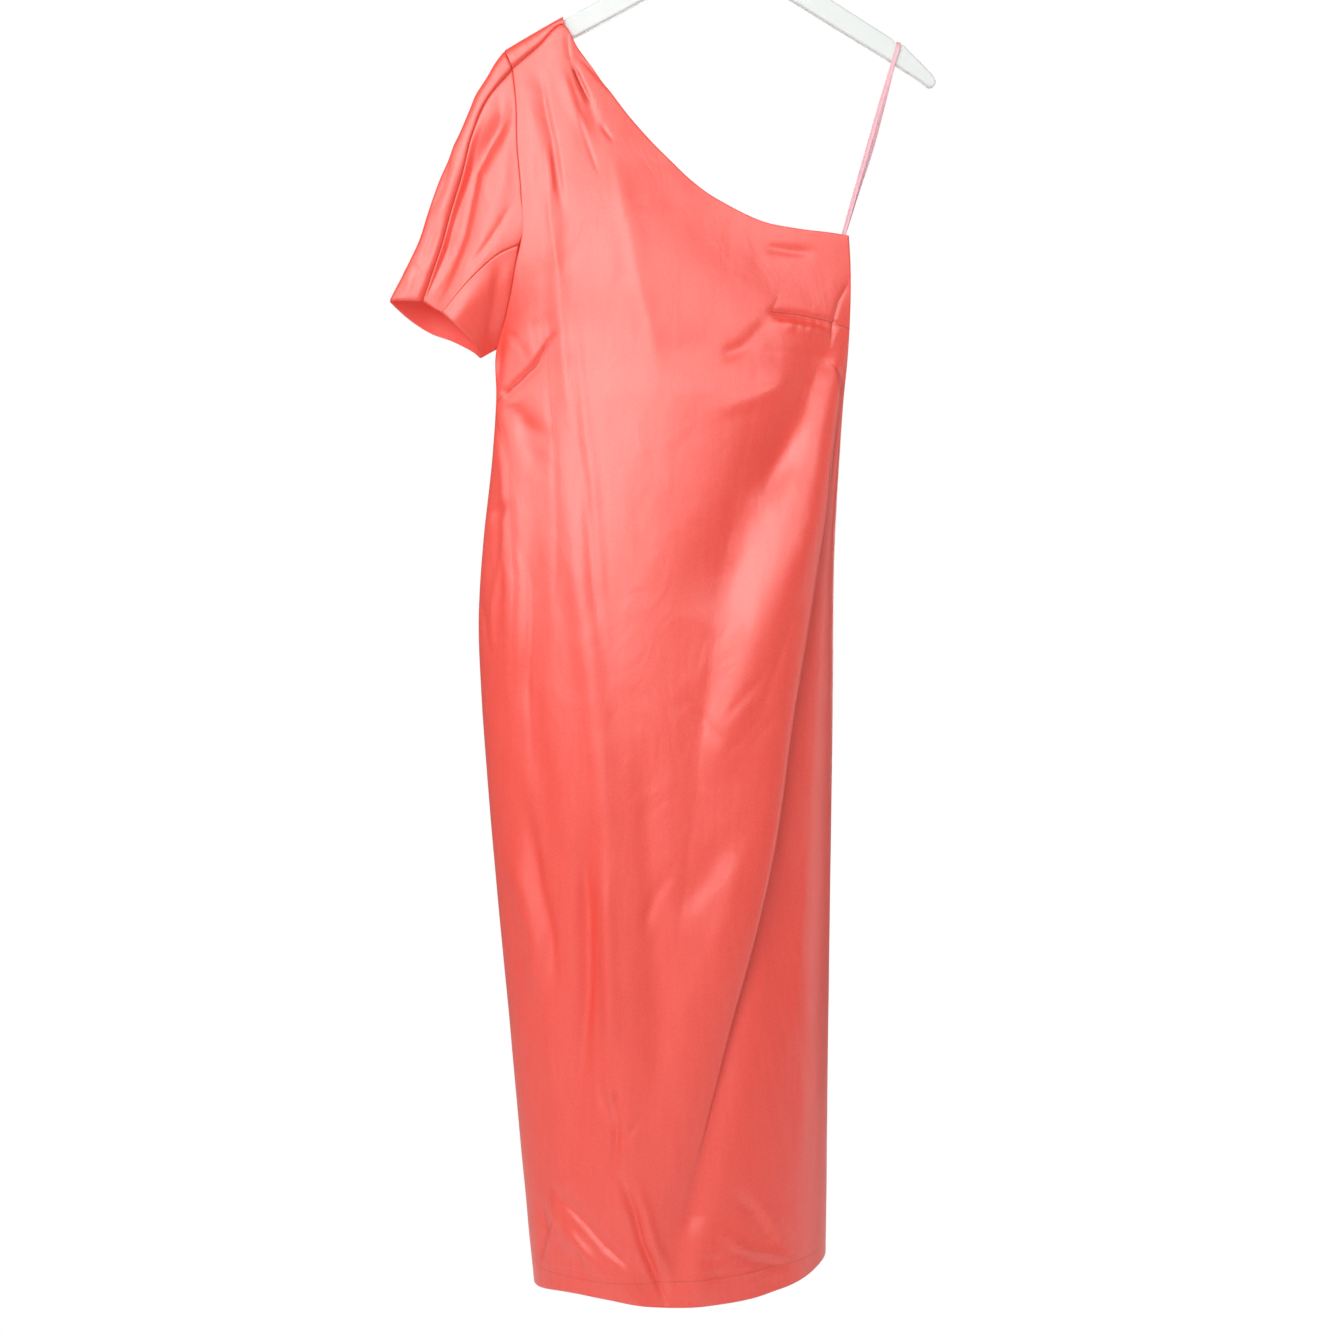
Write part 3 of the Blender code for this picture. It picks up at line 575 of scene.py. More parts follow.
def line_shade_group():
    """Mask of a straight line of painted shade from Start to End, this Wide, on cloth measured in metres."""
    group = bpy.data.node_groups.new("line_shade_mask", "ShaderNodeTree")
    for field, kind in (("Vector", "Vector"), ("Start", "Vector"), ("End", "Vector"), ("Wide", "Float")):
        group.interface.new_socket(field, in_out="INPUT", socket_type="NodeSocket" + kind)
    group.interface.new_socket("Mask", in_out="OUTPUT", socket_type="NodeSocketFloat")
    entry, leave = group.nodes.new("NodeGroupInput"), group.nodes.new("NodeGroupOutput")

    def vector(operation, first, second, out="Vector"):
        node = group.nodes.new("ShaderNodeVectorMath")
        node.operation = operation
        group.links.new(first, node.inputs[0])
        group.links.new(second, node.inputs["Scale"] if operation == "SCALE" else node.inputs[1])
        return node.outputs[out]

    def number(operation, first, second, clamp=False):
        node = group.nodes.new("ShaderNodeMath")
        node.operation, node.use_clamp = operation, clamp
        group.links.new(first, node.inputs[0])
        group.links.new(second, node.inputs[1])
        return node.outputs["Value"]

    way = vector("SUBTRACT", entry.outputs["End"], entry.outputs["Start"])
    gap = vector("SUBTRACT", entry.outputs["Vector"], entry.outputs["Start"])
    share = number("DIVIDE", vector("DOT_PRODUCT", gap, way, "Value"), vector("DOT_PRODUCT", way, way, "Value"), True)
    off = vector("SUBTRACT", gap, vector("SCALE", way, share))
    far = number("DIVIDE", vector("LENGTH", off, off, "Value"), entry.outputs["Wide"], True)
    soft = group.nodes.new("ShaderNodeMapRange")
    soft.interpolation_type = "SMOOTHSTEP"
    put(soft, To_Min=1.0, To_Max=0.0)
    group.links.new(far, soft.inputs["Value"])
    group.links.new(soft.outputs["Result"], leave.inputs["Mask"])
    return group


line_shade_mask = line_shade_group()


def satin(name, light, deep, low, high, thread=0.3, crease=0.26, sheen=0.03, where="UV", lines=()):
    """Satin between two colours and two roughnesses, with threads and crumple in its normals.

    lines are painted shade along creases and seams and under the long fold's lip, as (start, end, width, depth from 0
    to 1), in metres of cloth; depth is how far the colour goes towards a dark shade.
    """
    material, nodes, links, shader = blank(name)
    place = nodes.new("ShaderNodeTexCoord")
    weave, wear = nodes.new("ShaderNodeGroup"), nodes.new("ShaderNodeGroup")
    weave.node_tree, wear.node_tree = threads, crumple
    for group in (weave, wear):
        links.new(place.outputs[where], group.inputs["Vector"])
    colour = nodes.new("ShaderNodeMix")
    colour.data_type = "RGBA"
    put(colour, A=(*light, 1), B=(*deep, 1))
    blend = nodes.new("ShaderNodeMath")
    blend.operation = "MULTIPLY"
    links.new(wear.outputs["Cloud"], blend.inputs[0])
    links.new(weave.outputs["Streak"], blend.inputs[1])
    spread = nodes.new("ShaderNodeMapRange")
    put(spread, From_Min=0.0, From_Max=0.5)
    links.new(blend.outputs["Value"], spread.inputs["Value"])
    speck, mixed = nodes.new("ShaderNodeMapRange"), nodes.new("ShaderNodeMath")
    put(speck, From_Min=0.3, From_Max=0.7, To_Min=-0.6, To_Max=0.6)
    mixed.use_clamp = True
    links.new(weave.outputs["Grain"], speck.inputs["Value"])
    links.new(spread.outputs["Result"], mixed.inputs[0])
    links.new(speck.outputs["Result"], mixed.inputs[1])
    links.new(mixed.outputs["Value"], colour.inputs["Factor"])
    tint, last = colour.outputs["Result"], None
    for start, end, width, depth in lines:
        line, part = nodes.new("ShaderNodeGroup"), nodes.new("ShaderNodeMath")
        line.node_tree = line_shade_mask
        put(line, Start=(*start, 0), End=(*end, 0), Wide=width)
        links.new(place.outputs[where], line.inputs["Vector"])
        part.operation = "MULTIPLY"
        part.inputs[1].default_value = depth
        links.new(line.outputs["Mask"], part.inputs[0])
        if last:
            most = nodes.new("ShaderNodeMath")
            most.operation = "MAXIMUM"
            links.new(last, most.inputs[0])
            links.new(part.outputs["Value"], most.inputs[1])
            part = most
        last = part.outputs["Value"]
    # Painted shade: along the lines the colour darkens towards a deep brownish red, the shade in creases and seam
    # grooves and under the lip.
    if last:
        shade = nodes.new("ShaderNodeMix")
        shade.data_type = "RGBA"
        put(shade, B=(0.42 * deep[0], 0.25 * deep[1], 0.25 * deep[2], 1))
        links.new(last, shade.inputs["Factor"])
        links.new(tint, shade.inputs["A"])
        tint = shade.outputs["Result"]
    links.new(tint, shader.inputs["Base Color"])
    rough = nodes.new("ShaderNodeMapRange")
    put(rough, From_Min=0.3, From_Max=0.7, To_Min=low, To_Max=high)
    links.new(weave.outputs["Streak"], rough.inputs["Value"])
    links.new(rough.outputs["Result"], shader.inputs["Roughness"])
    soft, fine = nodes.new("ShaderNodeBump"), nodes.new("ShaderNodeBump")
    put(soft, Strength=crease, Distance=4 * MM)
    put(fine, Strength=thread, Distance=0.2 * MM)
    links.new(wear.outputs["Height"], soft.inputs["Height"])
    links.new(weave.outputs["Height"], fine.inputs["Height"])
    links.new(soft.outputs["Normal"], fine.inputs["Normal"])
    links.new(fine.outputs["Normal"], shader.inputs["Normal"])
    put(shader, Sheen_Weight=sheen, Sheen_Roughness=0.35, Sheen_Tint=(1, 0.75, 0.7, 1))
    put(shader, Specular_IOR_Level=1.0, IOR=1.56)
    return material


CORAL = ((0.88, 0.083, 0.057), (0.83, 0.056, 0.034), 0.40, 0.42)  # light, deep, and the two roughnesses
coral = satin("coral_satin", *CORAL)
inside = satin("coral_satin_inside", (0.86, 0.085, 0.06), (0.84, 0.075, 0.052), 0.55, 0.65, 0.2, 0.1, 0.02)
thread = satin("coral_thread", (0.90, 0.20, 0.16), (0.82, 0.15, 0.12), 0.5, 0.6, 0.3, 0.0, 0.1, "Object")
# Painted light: the inner side glows faintly in coral, so the shaded inside of the sleeve and of the back shows bright
# coral instead of dark.
painted_glow = next(node for node in inside.node_tree.nodes if node.type == "BSDF_PRINCIPLED")
put(painted_glow, Emission_Color=(0.9, 0.07, 0.05, 1), Emission_Strength=0.15)  # daylight through the thin cloth
print("materials:", coral.name, inside.name, thread.name)

# %% [markdown]
# The front carries most of what the eye reads. The broad folds are in millimetres, as on the solid. The creases
# after them are given where the camera sees them, in pixels of the picture, because that is how they were found.
# The long fold's lip stands up to 3 mm prouder than the solid's, and the side edges meet closer than the solids do.

# %% Folds of the front
BROAD = (
    # height, half width below or left of the line, half width above or right, then the line, all in mm: as in the
    # solid, but softened where the picture shows the cloth flatter
    (-1.2, 9, 6, (-190, 226), (-183, 268), (-173, 318), (-166, 362)),  # second shoulder pleat
    (-1.5, 9, 7, (-159, 214), (-150, 240), (-137, 264), (-128, 292)),  # hollow under the neck corner
    (2.5, 14, 14, (-183, 262), (-180, 330), (-170, 440), (-155, 600)),  # pressed line from the shoulder
    (3.0, 46, 60, (-106, 325), (-94, 420), (-72, 500), (-50, 560)),  # broad rise towards the bust
    (-9.0, 36, 20, (110, 508), (100, 532), (80, 581), (60, 628), (36, 680)),  # hollow from the right dart
    (-9.0, 62, 34, (84, 572), (60, 628), (34, 684), (8, 742), (-13, 801)),  # where it widens
    (4.0, 30, 26, (92, 650), (74, 700), (53, 750), (34, 805), (12, 860), (-16, 960)),  # rise beside the long fold
    (-6.0, 30, 24, (34, 1080), (18, 1152), (-7, 1255), (-26, 1333), (-41, 1403), (-57, 1475)),  # the fold's end
    (-2.4, 10, 10, (46, 476), (80, 481), (122, 490)),  # right dart
    (-2.4, 10, 10, (-170, 499), (-190, 531), (-226, 566)),  # left dart
    (-3.0, 14, 14, (-208, 585), (-200, 610), (-186, 640)),  # dimple under the left dart
    (3.0, 18, 18, (-222, 600), (-214, 690), (-212, 790), (-218, 880)),  # left side line
    (-2.6, 18, 18, (-196, 690), (-190, 780), (-196, 860), (-184, 960), (-168, 1080)),
    (3.6, 20, 20, (-160, 640), (-145, 760), (-132, 860), (-120, 980), (-114, 1100)),
    (-3.0, 24, 24, (-140, 1000), (-138, 1100), (-142, 1200), (-150, 1330)),
    (3.0, 26, 26, (-112, 1040), (-104, 1180), (-96, 1320), (-90, 1470)),
    (-3.8, 22, 20, (-86, 900), (-78, 980), (-70, 1120), (-64, 1260)),
    (2.4, 18, 18, (-180, 1160), (-168, 1260), (-160, 1400)),
    (-3.0, 20, 20, (66, 1020), (58, 1110), (54, 1190)),
    (2.4, 20, 20, (84, 1120), (86, 1240), (84, 1330)),
    (-3.0, 20, 20, (-106, 1372), (-94, 1420), (-60, 1475)),  # hem creases
    (2.6, 14, 14, (-168, 1400), (-134, 1426), (-100, 1460)),
    (3.0, 22, 22, (-30, 1380), (-28, 1475)),
    (-2.4, 18, 18, (24, 1380), (44, 1430), (50, 1475)),
)
CREASES = (
    # height in mm, half width below or left of the line, half width above or right, then the line in pixels
    (-2.0, 7, 3, (541, 78), (547, 108), (554, 140), (560, 180), (565, 215)),  # shoulder pleat
    (-0.9, 5, 3, (543, 100), (549, 140), (556, 175), (561, 212)),
    (1.1, 10, 8, (525, 75), (538, 150), (546, 215)),
    (-2.6, 4, 3, (574, 66), (581, 82), (590, 102)),  # deep pleat at the neck corner
    (0.9, 3, 3, (568, 62), (576, 86), (585, 106)),
    (1.5, 8, 6, (562, 70), (575, 110), (590, 140)),
    (-1.5, 3, 3, (567, 32), (568, 50), (570, 60)),
    (-1.0, 3, 3, (577, 113), (588, 145), (598, 173)),
    (-1.2, 3, 3, (600, 123), (607, 133), (612, 140)),
    (-1.0, 3, 3, (580, 57), (610, 90)),
    (0.9, 3, 3, (545, 110), (550, 160), (550, 217), (557, 260), (562, 300)),
    (1.6, 12, 16, (608, 150), (618, 173), (628, 220), (637, 267), (650, 320), (658, 345), (670, 363)),
    (-1.0, 14, 14, (650, 290), (668, 345), (690, 368)),
    (-1.5, 8, 8, (763, 247), (790, 251), (813, 253)),
    (-1.6, 3, 3, (777, 297), (775, 303), (771, 312), (797, 315), (823, 320), (851, 327)),  # right dart
    (2.5, 12, 4, (775, 322), (800, 326), (826, 332)),
    (-0.9, 3, 3, (783, 316), (782, 332)),
    (-0.9, 3, 3, (797, 317), (796, 334)),
    (-0.9, 3, 3, (806, 318), (804, 332)),
    (-0.9, 3, 3, (816, 320), (813, 336)),
    (-1.5, 3, 3, (847, 284), (838, 302), (833, 320), (830, 345)),
    (1.4, 12, 12, (793, 377), (753, 399), (713, 410)),
    (-1.8, 11, 11, (771, 318), (745, 345), (718, 360)),
    (-1.0, 3, 3, (547, 377), (552, 420), (555, 460), (557, 533), (556, 600)),  # press lines
    (-1.0, 3, 3, (562, 300), (573, 383), (578, 440), (585, 487), (593, 587), (600, 640), (605, 660)),
    (1.2, 6, 6, (571, 300), (582, 383), (587, 440), (594, 487), (602, 587), (609, 640)),
    (-1.8, 3, 3, (557, 333), (548, 343), (537, 366), (520, 382), (505, 397), (498, 402)),  # left dart
    (1.2, 4, 4, (552, 330), (540, 350), (525, 370), (508, 386)),
    (-0.9, 3, 3, (532, 318), (536, 350)),
    (-0.9, 3, 3, (540, 318), (544, 352)),
    (-0.9, 3, 3, (548, 315), (551, 345)),
    (-2.0, 6, 6, (505, 300), (500, 340), (497, 385)),
    (-1.2, 3, 3, (499, 388), (507, 394), (517, 396)),
    (-1.2, 3, 3, (498, 398), (506, 406), (516, 411)),
    (1.2, 4, 4, (500, 394), (510, 401), (520, 405)),
    (-1.0, 4, 4, (508, 330), (520, 345), (528, 362)),
    (-2.6, 13, 13, (508, 404), (528, 426), (548, 444)),
    (-3.0, 10, 10, (490, 517), (507, 507)),
    (-1.3, 3, 3, (498, 410), (510, 467), (512, 533), (515, 590), (513, 633), (512, 717)),
    (1.5, 6, 3, (491, 420), (503, 467), (505, 533), (508, 590), (506, 633)),
    (-1.3, 3, 3, (515, 530), (530, 580), (531, 633), (528, 677), (530, 717), (532, 760)),
    (1.2, 4, 4, (508, 527), (500, 567), (493, 600), (491, 633), (490, 663)),
    (-1.5, 3, 3, (480, 593), (485, 620), (492, 660)),
    (-0.9, 3, 3, (768, 670), (745, 696), (722, 722)),  # small creases of the middle
    (-0.8, 3, 3, (797, 700), (770, 722), (745, 752)),
    (-0.8, 3, 3, (683, 690), (700, 716), (712, 745)),
    (-0.6, 3, 3, (668, 703), (690, 707), (712, 722)),
    (0.7, 6, 6, (770, 684), (752, 702), (735, 722)),
    (-1.0, 4, 4, (807, 590), (780, 653), (760, 717)),
    (-0.8, 4, 4, (768, 713), (746, 735), (723, 757)),
    (-1.0, 4, 4, (695, 707), (710, 727), (723, 747)),
    (-5.0, 12, 9, (524, 800), (540, 887), (550, 933), (556, 985)),  # lower part
    (4.0, 14, 12, (512, 850), (524, 900), (536, 950), (540, 1000)),
    (-5.0, 11, 9, (583, 840), (588, 917), (588, 987), (583, 1070)),
    (4.0, 12, 12, (603, 860), (609, 987), (611, 1060)),
    (-1.5, 8, 8, (673, 867), (653, 900), (643, 930)),
    (-1.8, 24, 20, (735, 830), (705, 880), (677, 915)),
    (1.5, 18, 14, (742, 850), (727, 920), (708, 970)),
    (-1.5, 4, 4, (640, 1120), (627, 1137), (623, 1147)),
    (-5.5, 5, 9, (618, 1175), (633, 1213), (640, 1243), (653, 1273), (667, 1302)),
    (3.0, 5, 9, (631, 1180), (646, 1213), (654, 1243), (667, 1273)),
    (-3.2, 6, 10, (555, 1192), (584, 1222), (606, 1247), (630, 1268)),
    (1.8, 9, 9, (550, 1206), (573, 1238), (596, 1268)),
    (2.6, 5, 5, (553, 1193), (557, 1220), (549, 1247)),
    (-3.0, 5, 5, (541, 1200), (545, 1230), (540, 1262)),
    (-2.5, 4, 6, (596, 1080), (606, 1110), (618, 1140)),
    (2.0, 5, 5, (604, 1078), (614, 1104), (626, 1130)),
    (-2.6, 6, 8, (618, 1085), (617, 1130), (612, 1175)),
    (-1.5, 4, 4, (573, 1243), (587, 1280)),
    (-0.8, 4, 4, (800, 850), (793, 960), (785, 1040)),
    (-1.5, 5, 5, (808, 1047), (810, 1100), (813, 1160)),
    (-2.4, 5, 5, (729, 1192), (750, 1210), (772, 1243)),
    (1.8, 5, 5, (745, 1190), (768, 1212), (790, 1250)),
    (3.0, 3, 5, (725, 1233), (747, 1250), (800, 1258)),
    (-2.4, 4, 3, (733, 1250), (752, 1262), (790, 1268)),
    (-1.3, 3, 3, (737, 1250), (760, 1280)),
    (-2.4, 3, 3, (708, 1252), (712, 1267), (719, 1284)),
)


def evened(values, rows):
    """The values with each column smoothed over about this many rows, so that no bend runs across the cloth."""
    reach = 3 * rows
    weights = np.exp(-0.5 * (np.arange(-reach, reach + 1) / rows) ** 2)
    padded = np.pad(values, ((reach, reach), (0, 0)), mode="reflect", reflect_type="odd")
    return np.stack([np.convolve(column, weights / weights.sum(), "valid") for column in padded.T], axis=1)


# %% The front
front_columns = np.concatenate([
    [0, 0.05, 0.12, 0.22], np.linspace(0.4, COLUMNS - 0.4, 152), COLUMNS - np.array([0.22, 0.12, 0.05, 0])])
front_levels = np.concatenate([
    [TOP_LEVEL, TOP_LEVEL + 0.7, TOP_LEVEL + 1.6], np.linspace(TOP_LEVEL + 4, WAIST_LEVEL, 108)[:-1],
    np.linspace(WAIST_LEVEL, 900, 62)[:-1], np.linspace(900, 1220, 52)[:-1], np.linspace(1220, 1375, 32)[:-1],
    np.linspace(1375, HEM_LEVEL - 4, 40), [HEM_LEVEL - 1.8, HEM_LEVEL - 0.8, HEM_LEVEL]])
base = panel(FRONT_LEFT, RIGHT, NECKLINE, -1, front_levels, front_columns, NECK_COLUMN)
along, out = across(base)
left, right = from_sides(base)
base[..., 2] += (evened(base[..., 2], 11) - base[..., 2]) * ease(left, 2, 45) * ease(right, 4, 50)
keep = ease(left, 0, 42) * ease(right, 2, 28)
base = raised(base, base[..., :2], BROAD, -out, keep)
front = folded(base, front_levels, front_columns, along, -out)
_, out = across(front)
left, right = from_sides(front)
keep = ease(left, 0, 7) * ease(right, 0, 7)
flat = seen(front)
front = raised(front, flat, CREASES, -out, keep)
front -= out * wobble(front[..., :2], 0.5)[..., None] * keep[..., None]
_, out = across(front)
front = rolled(front, -out, 1.1, top=True, bottom=True, left=True, right=True)
shoulder = front[0, :, 0] < NECKLINE[2][1] + 1
front[0, shoulder] += [0, 0.6, -0.3]


def on_cloth(surface, lines):
    """Lines given in pixels of the picture as (width, depth, points), turned into straight parts in metres of cloth."""
    where, spread = seen(surface), unrolled(surface)
    parts = []
    for width, depth, *points in lines:
        ends = []
        for point in points:
            j, i = np.unravel_index(np.argmin(np.linalg.norm(where - point, axis=2)), where.shape[:2])
            j, i = min(max(j, 1), len(surface) - 2), min(max(i, 1), surface.shape[1] - 2)
            right, below = (where[j, i + 1] - where[j, i - 1]) / 2, (where[j + 1, i] - where[j - 1, i]) / 2
            gap = np.array(point) - where[j, i]
            shift = np.clip(np.linalg.lstsq(np.stack([right, below], axis=1), gap, rcond=None)[0], -1, 1)
            ends.append(tuple(spread[j, i] + shift[0] * (spread[j, i + 1] - spread[j, i - 1]) / 2
                              + shift[1] * (spread[j + 1, i] - spread[j - 1, i]) / 2))
        parts += [(start, end, width * MM, depth) for start, end in zip(ends, ends[1:])]
    return parts


# Painted shade: dark lines in the front's colour along its darts, pleats, pressed lines and the hem's stitch line. At
# the darts and the hem they are partly the seam itself and partly painted shade in its groove; at the pleats and
# pressed lines they are painted shade in the fold.
SEAM_AND_CREASE_SHADE = (
    # width in mm, depth, then the line in pixels
    (1.1, 0.75, (771, 312), (797, 315), (823, 320), (851, 327)),  # right dart
    (1.2, 0.3, (777, 297), (771, 312)),
    (1.0, 0.7, (847, 284), (838, 302), (833, 320), (830, 338)),
    (1.0, 0.55, (557, 333), (537, 366), (520, 382), (498, 402)),  # left dart
    (1.0, 0.25, (532, 318), (536, 350)),
    (1.0, 0.25, (540, 318), (544, 352)),
    (1.0, 0.25, (548, 315), (551, 345)),
    (1.2, 0.4, (541, 80), (543, 96)),
    (1.1, 0.7, (542, 80), (547, 106), (554, 140), (559, 172)),  # pleats
    (1.4, 0.9, (573, 70), (580, 86), (590, 103)),
    (1.0, 0.6, (567, 32), (568, 50), (570, 60)),
    (0.9, 0.4, (577, 113), (588, 145), (598, 173)),
    (0.9, 0.4, (600, 123), (612, 140)),
    (1.4, 0.4, (548, 345), (552, 420), (555, 460)),  # pressed lines
    (1.5, 0.25, (555, 460), (557, 533)),
    (1.6, 0.12, (557, 533), (557, 600)),
    (2.4, 0.15, (562, 300), (573, 383)),
    (2.0, 0.4, (573, 383), (579, 435), (585, 487), (590, 538)),
    (2.6, 0.22, (590, 538), (596, 590)),
    (3.2, 0.12, (596, 590), (604, 645)),
    (2.0, 0.32, (498, 410), (510, 467), (512, 533)),
    (2.2, 0.2, (512, 533), (515, 590)),
    (2.6, 0.1, (515, 590), (513, 650)),
    (2.4, 0.18, (515, 530), (522, 552), (527, 578), (530, 605), (531, 633)),
    (2.8, 0.1, (531, 633), (531, 690)),
    (1.3, 0.25, (539, 1266), (581, 1279), (640, 1284), (700, 1281), (764, 1269), (818, 1250)),
)
# Painted shadow: the shade close under the long fold's lip is painted as a dark line on the panel beneath it.
LIP_LEVELS = (520, 560, 780, 1000, 1090, 1180)  # the dark line close under the long fold's lip, level by level
LIP_DEPTHS = ((520, 560, 1000, 1120), (0.35, 0.8, 0.8, 0.25))  # how dark it is, from 0 to 1, at these levels
LIP_WIDTH, UNDER_LIP = 3.4, 0.75  # mm, and columns past the lip

painted_shade_lines = on_cloth(front, SEAM_AND_CREASE_SHADE)
under = unrolled(front)[:, int(np.argmin(np.abs(front_columns - FOLD_COLUMN - UNDER_LIP)))]
for top, bottom in zip(LIP_LEVELS, LIP_LEVELS[1:]):
    ends = [tuple(float(np.interp(level, front_levels, under[:, k])) for k in (0, 1)) for level in (top, bottom)]
    painted_shade_lines.append((*ends, LIP_WIDTH * MM, float(np.interp(top, *LIP_DEPTHS))))
coral_front = satin("coral_satin_front", *CORAL, lines=painted_shade_lines)
front_piece = cloth("front_panel", front, coral_front, inside, plumb=True)
worn(front_piece, "front")

# %% [markdown]
# The back wraps over the hanger's arm to meet the front at the shoulder seam, so its first rows turn round the arm
# and only its first columns have them. Its folds can't be seen in the photograph: they are of the same kind.

# %% The back
BACK_FOLDS = (
    # height, half width on one side of the line and on the other, then the line, all in mm
    (-5.0, 12, 12, (-188, 222), (-182, 280), (-174, 350)),
    (5.0, 14, 14, (-162, 225), (-158, 320), (-140, 450), (-120, 560)),
    (-6.0, 22, 22, (-120, 330), (-100, 440), (-90, 560)),
    (6.0, 24, 24, (-60, 360), (-40, 520), (-36, 700), (-40, 900)),
    (-4.5, 28, 28, (100, 540), (70, 620), (30, 740), (-4, 860), (-20, 1000)),
    (7.0, 28, 28, (88, 700), (60, 860), (40, 1040), (30, 1250), (30, 1470)),
    (-6.0, 24, 24, (-120, 700), (-110, 900), (-104, 1100), (-100, 1300)),
    (6.0, 24, 24, (-180, 620), (-168, 800), (-160, 1000), (-150, 1300), (-150, 1470)),
    (-5.0, 20, 20, (-208, 800), (-200, 1000), (-190, 1200)),
    (5.0, 24, 24, (-60, 1050), (-56, 1250), (-50, 1470)),
    (-5.0, 20, 20, (76, 1100), (80, 1300), (80, 1470)),
)

back_columns = np.concatenate([
    [0, 0.05, 0.12], np.linspace(0.25, BACK_COLUMNS - 0.25, 103), BACK_COLUMNS - np.array([0.12, 0.05, 0])])
back_levels = np.concatenate([np.linspace(TOP_LEVEL, WAIST_LEVEL, 91)[:-1], np.linspace(WAIST_LEVEL, HEM_LEVEL, 180)])
left = [(row[2], *row[1:]) for row in ARMHOLE_BACK if row[2] >= TOP_LEVEL]
left += [(row[0], row[1], row[2], -row[3]) for row in FRONT_LEFT if row[0] > 511]
right = [(row[0], row[1], row[2], -row[3]) for row in RIGHT]
back = panel(left, right, BACK_TOP, 1, back_levels, back_columns, BACK_NECK_COLUMN)
_, out = across(back)
share = back_columns / BACK_COLUMNS
keep = (ease(share, 0, 0.08) * (1 - ease(share, 0.92, 1)))[None, :]
keep = keep * ease(back_levels, TOP_LEVEL, TOP_LEVEL + 40)[:, None]
back = raised(back, back[..., :2], BACK_FOLDS, out, keep)
back += out * wobble(back[..., :2] + 60, 0.8)[..., None] * keep[..., None]
_, out = across(back)
back = rolled(back, out, 1.6, bottom=True, left=True, right=True)
last = int(np.argmin(np.abs(back_columns - BACK_NECK_COLUMN)))
shoulder = back[0, : last + 1]
steps = np.interp(shoulder[:, 0], [row[1] for row in BACK_TOP[:3]], [row[0] for row in BACK_TOP[:3]])
ridge, seam = through(SHOULDER_RIDGE, steps), through(NECKLINE, steps) - [0, 0.1, 0]
turns = np.linspace(0, 1, 10)
over_arm = np.concatenate([over(seam, ridge, turns), over(shoulder, ridge, turns[::-1][1:-1])])
wrap = np.zeros((len(over_arm), back.shape[1], 3))
wrap[:, : last + 1] = over_arm
back_piece = cloth("back_panel", np.concatenate([wrap, back]), coral, inside, -1, drop_above=(len(over_arm), last))
worn(back_piece, "back")

# %% [markdown]
# The sleeve is cut in three: a front, a back that wraps over the arm, and a small piece let in under the arm. Each
# is spanned between its four edge lines, so neighbours share their seam exactly.

# %% Lines of the sleeve
ARM_SEAM = (
    # share of the length, x, drop, y
    (0.0, -216.3, 224.4, -10.5),
    (0.163, -242.7, 257.1, -13),
    (0.306, -257.1, 291.0, -14),
    (0.484, -268.3, 336.0, -15),
    (0.62, -278.6, 369.9, -15),
    (0.756, -287.8, 403.7, -14.5),
    (0.88, -298.1, 434.4, -14),
    (1.0, -308.3, 464.1, -13),
)
ARM_TOP = (
    # share of the length, x, drop, y
    (0.0, -225.2, 204.2, 0),
    (0.054, -234.4, 216.6, 0),
    (0.104, -241.6, 229.0, 0),
    (0.207, -257.1, 254.1, 0),
    (0.326, -270.5, 285.0, 0),
    (0.455, -284.9, 319.0, 0),
    (0.598, -299.3, 357.1, 0),
    (0.751, -312.7, 398.3, 0),
    (0.879, -328.2, 431.3, 0),
    (1.0, -343.6, 462.2, 0),
)
GUSSET_SEAM = (
    # share of the length, x, drop, y
    (0.0, -208.9, 409.0, -31.5),
    (0.28, -230.0, 419.0, -32),
    (0.62, -259.0, 444.3, -31),
    (1.0, -288.0, 477.0, -26),
)
UNDERARM = (
    # share of the length, x, drop, y
    (0.0, -233.6, 511.0, 0),
    (1.0, -249.9, 520.9, -4),
)
CUFF_FRONT = (
    # share of the length, x, drop, y
    (0.0, -308.3, 464.1, -13),
    (0.4, -299.0, 470.5, -19),
    (1.0, -288.0, 477.0, -26),
)
CUFF_GUSSET = (
    # share of the length, x, drop, y
    (0.0, -288.0, 477.0, -26),
    (0.35, -275.0, 489.0, -29),
    (0.7, -257.0, 505.5, -19),
    (1.0, -249.9, 520.9, -4),
)
CUFF_BACK = (
    # share of the length, x, drop, y
    (0.0, -343.6, 462.2, 0),
    (0.07, -340.5, 465.0, 9),
    (0.2, -329.1, 475.0, 18),
    (0.45, -305.2, 490.2, 27),
    (0.7, -279.1, 500.6, 23),
    (0.9, -256.5, 514.0, 9),
    (1.0, -249.9, 520.9, -4),
)
SLEEVE_CREASES = (
    # height in mm, half widths to the left and to the right of the line, then the line in pixels
    (-10.0, 19, 12, (517, 88), (505, 117), (487, 145), (473, 171), (466, 205), (460, 232), (450, 258), (440, 286),
     (434, 303)),  # hollow beside the over-arm seam
    (1.2, 12, 14, (516, 130), (503, 180), (488, 225), (472, 270)),
    (-1.2, 5, 5, (512, 205), (490, 240), (468, 270)),
)
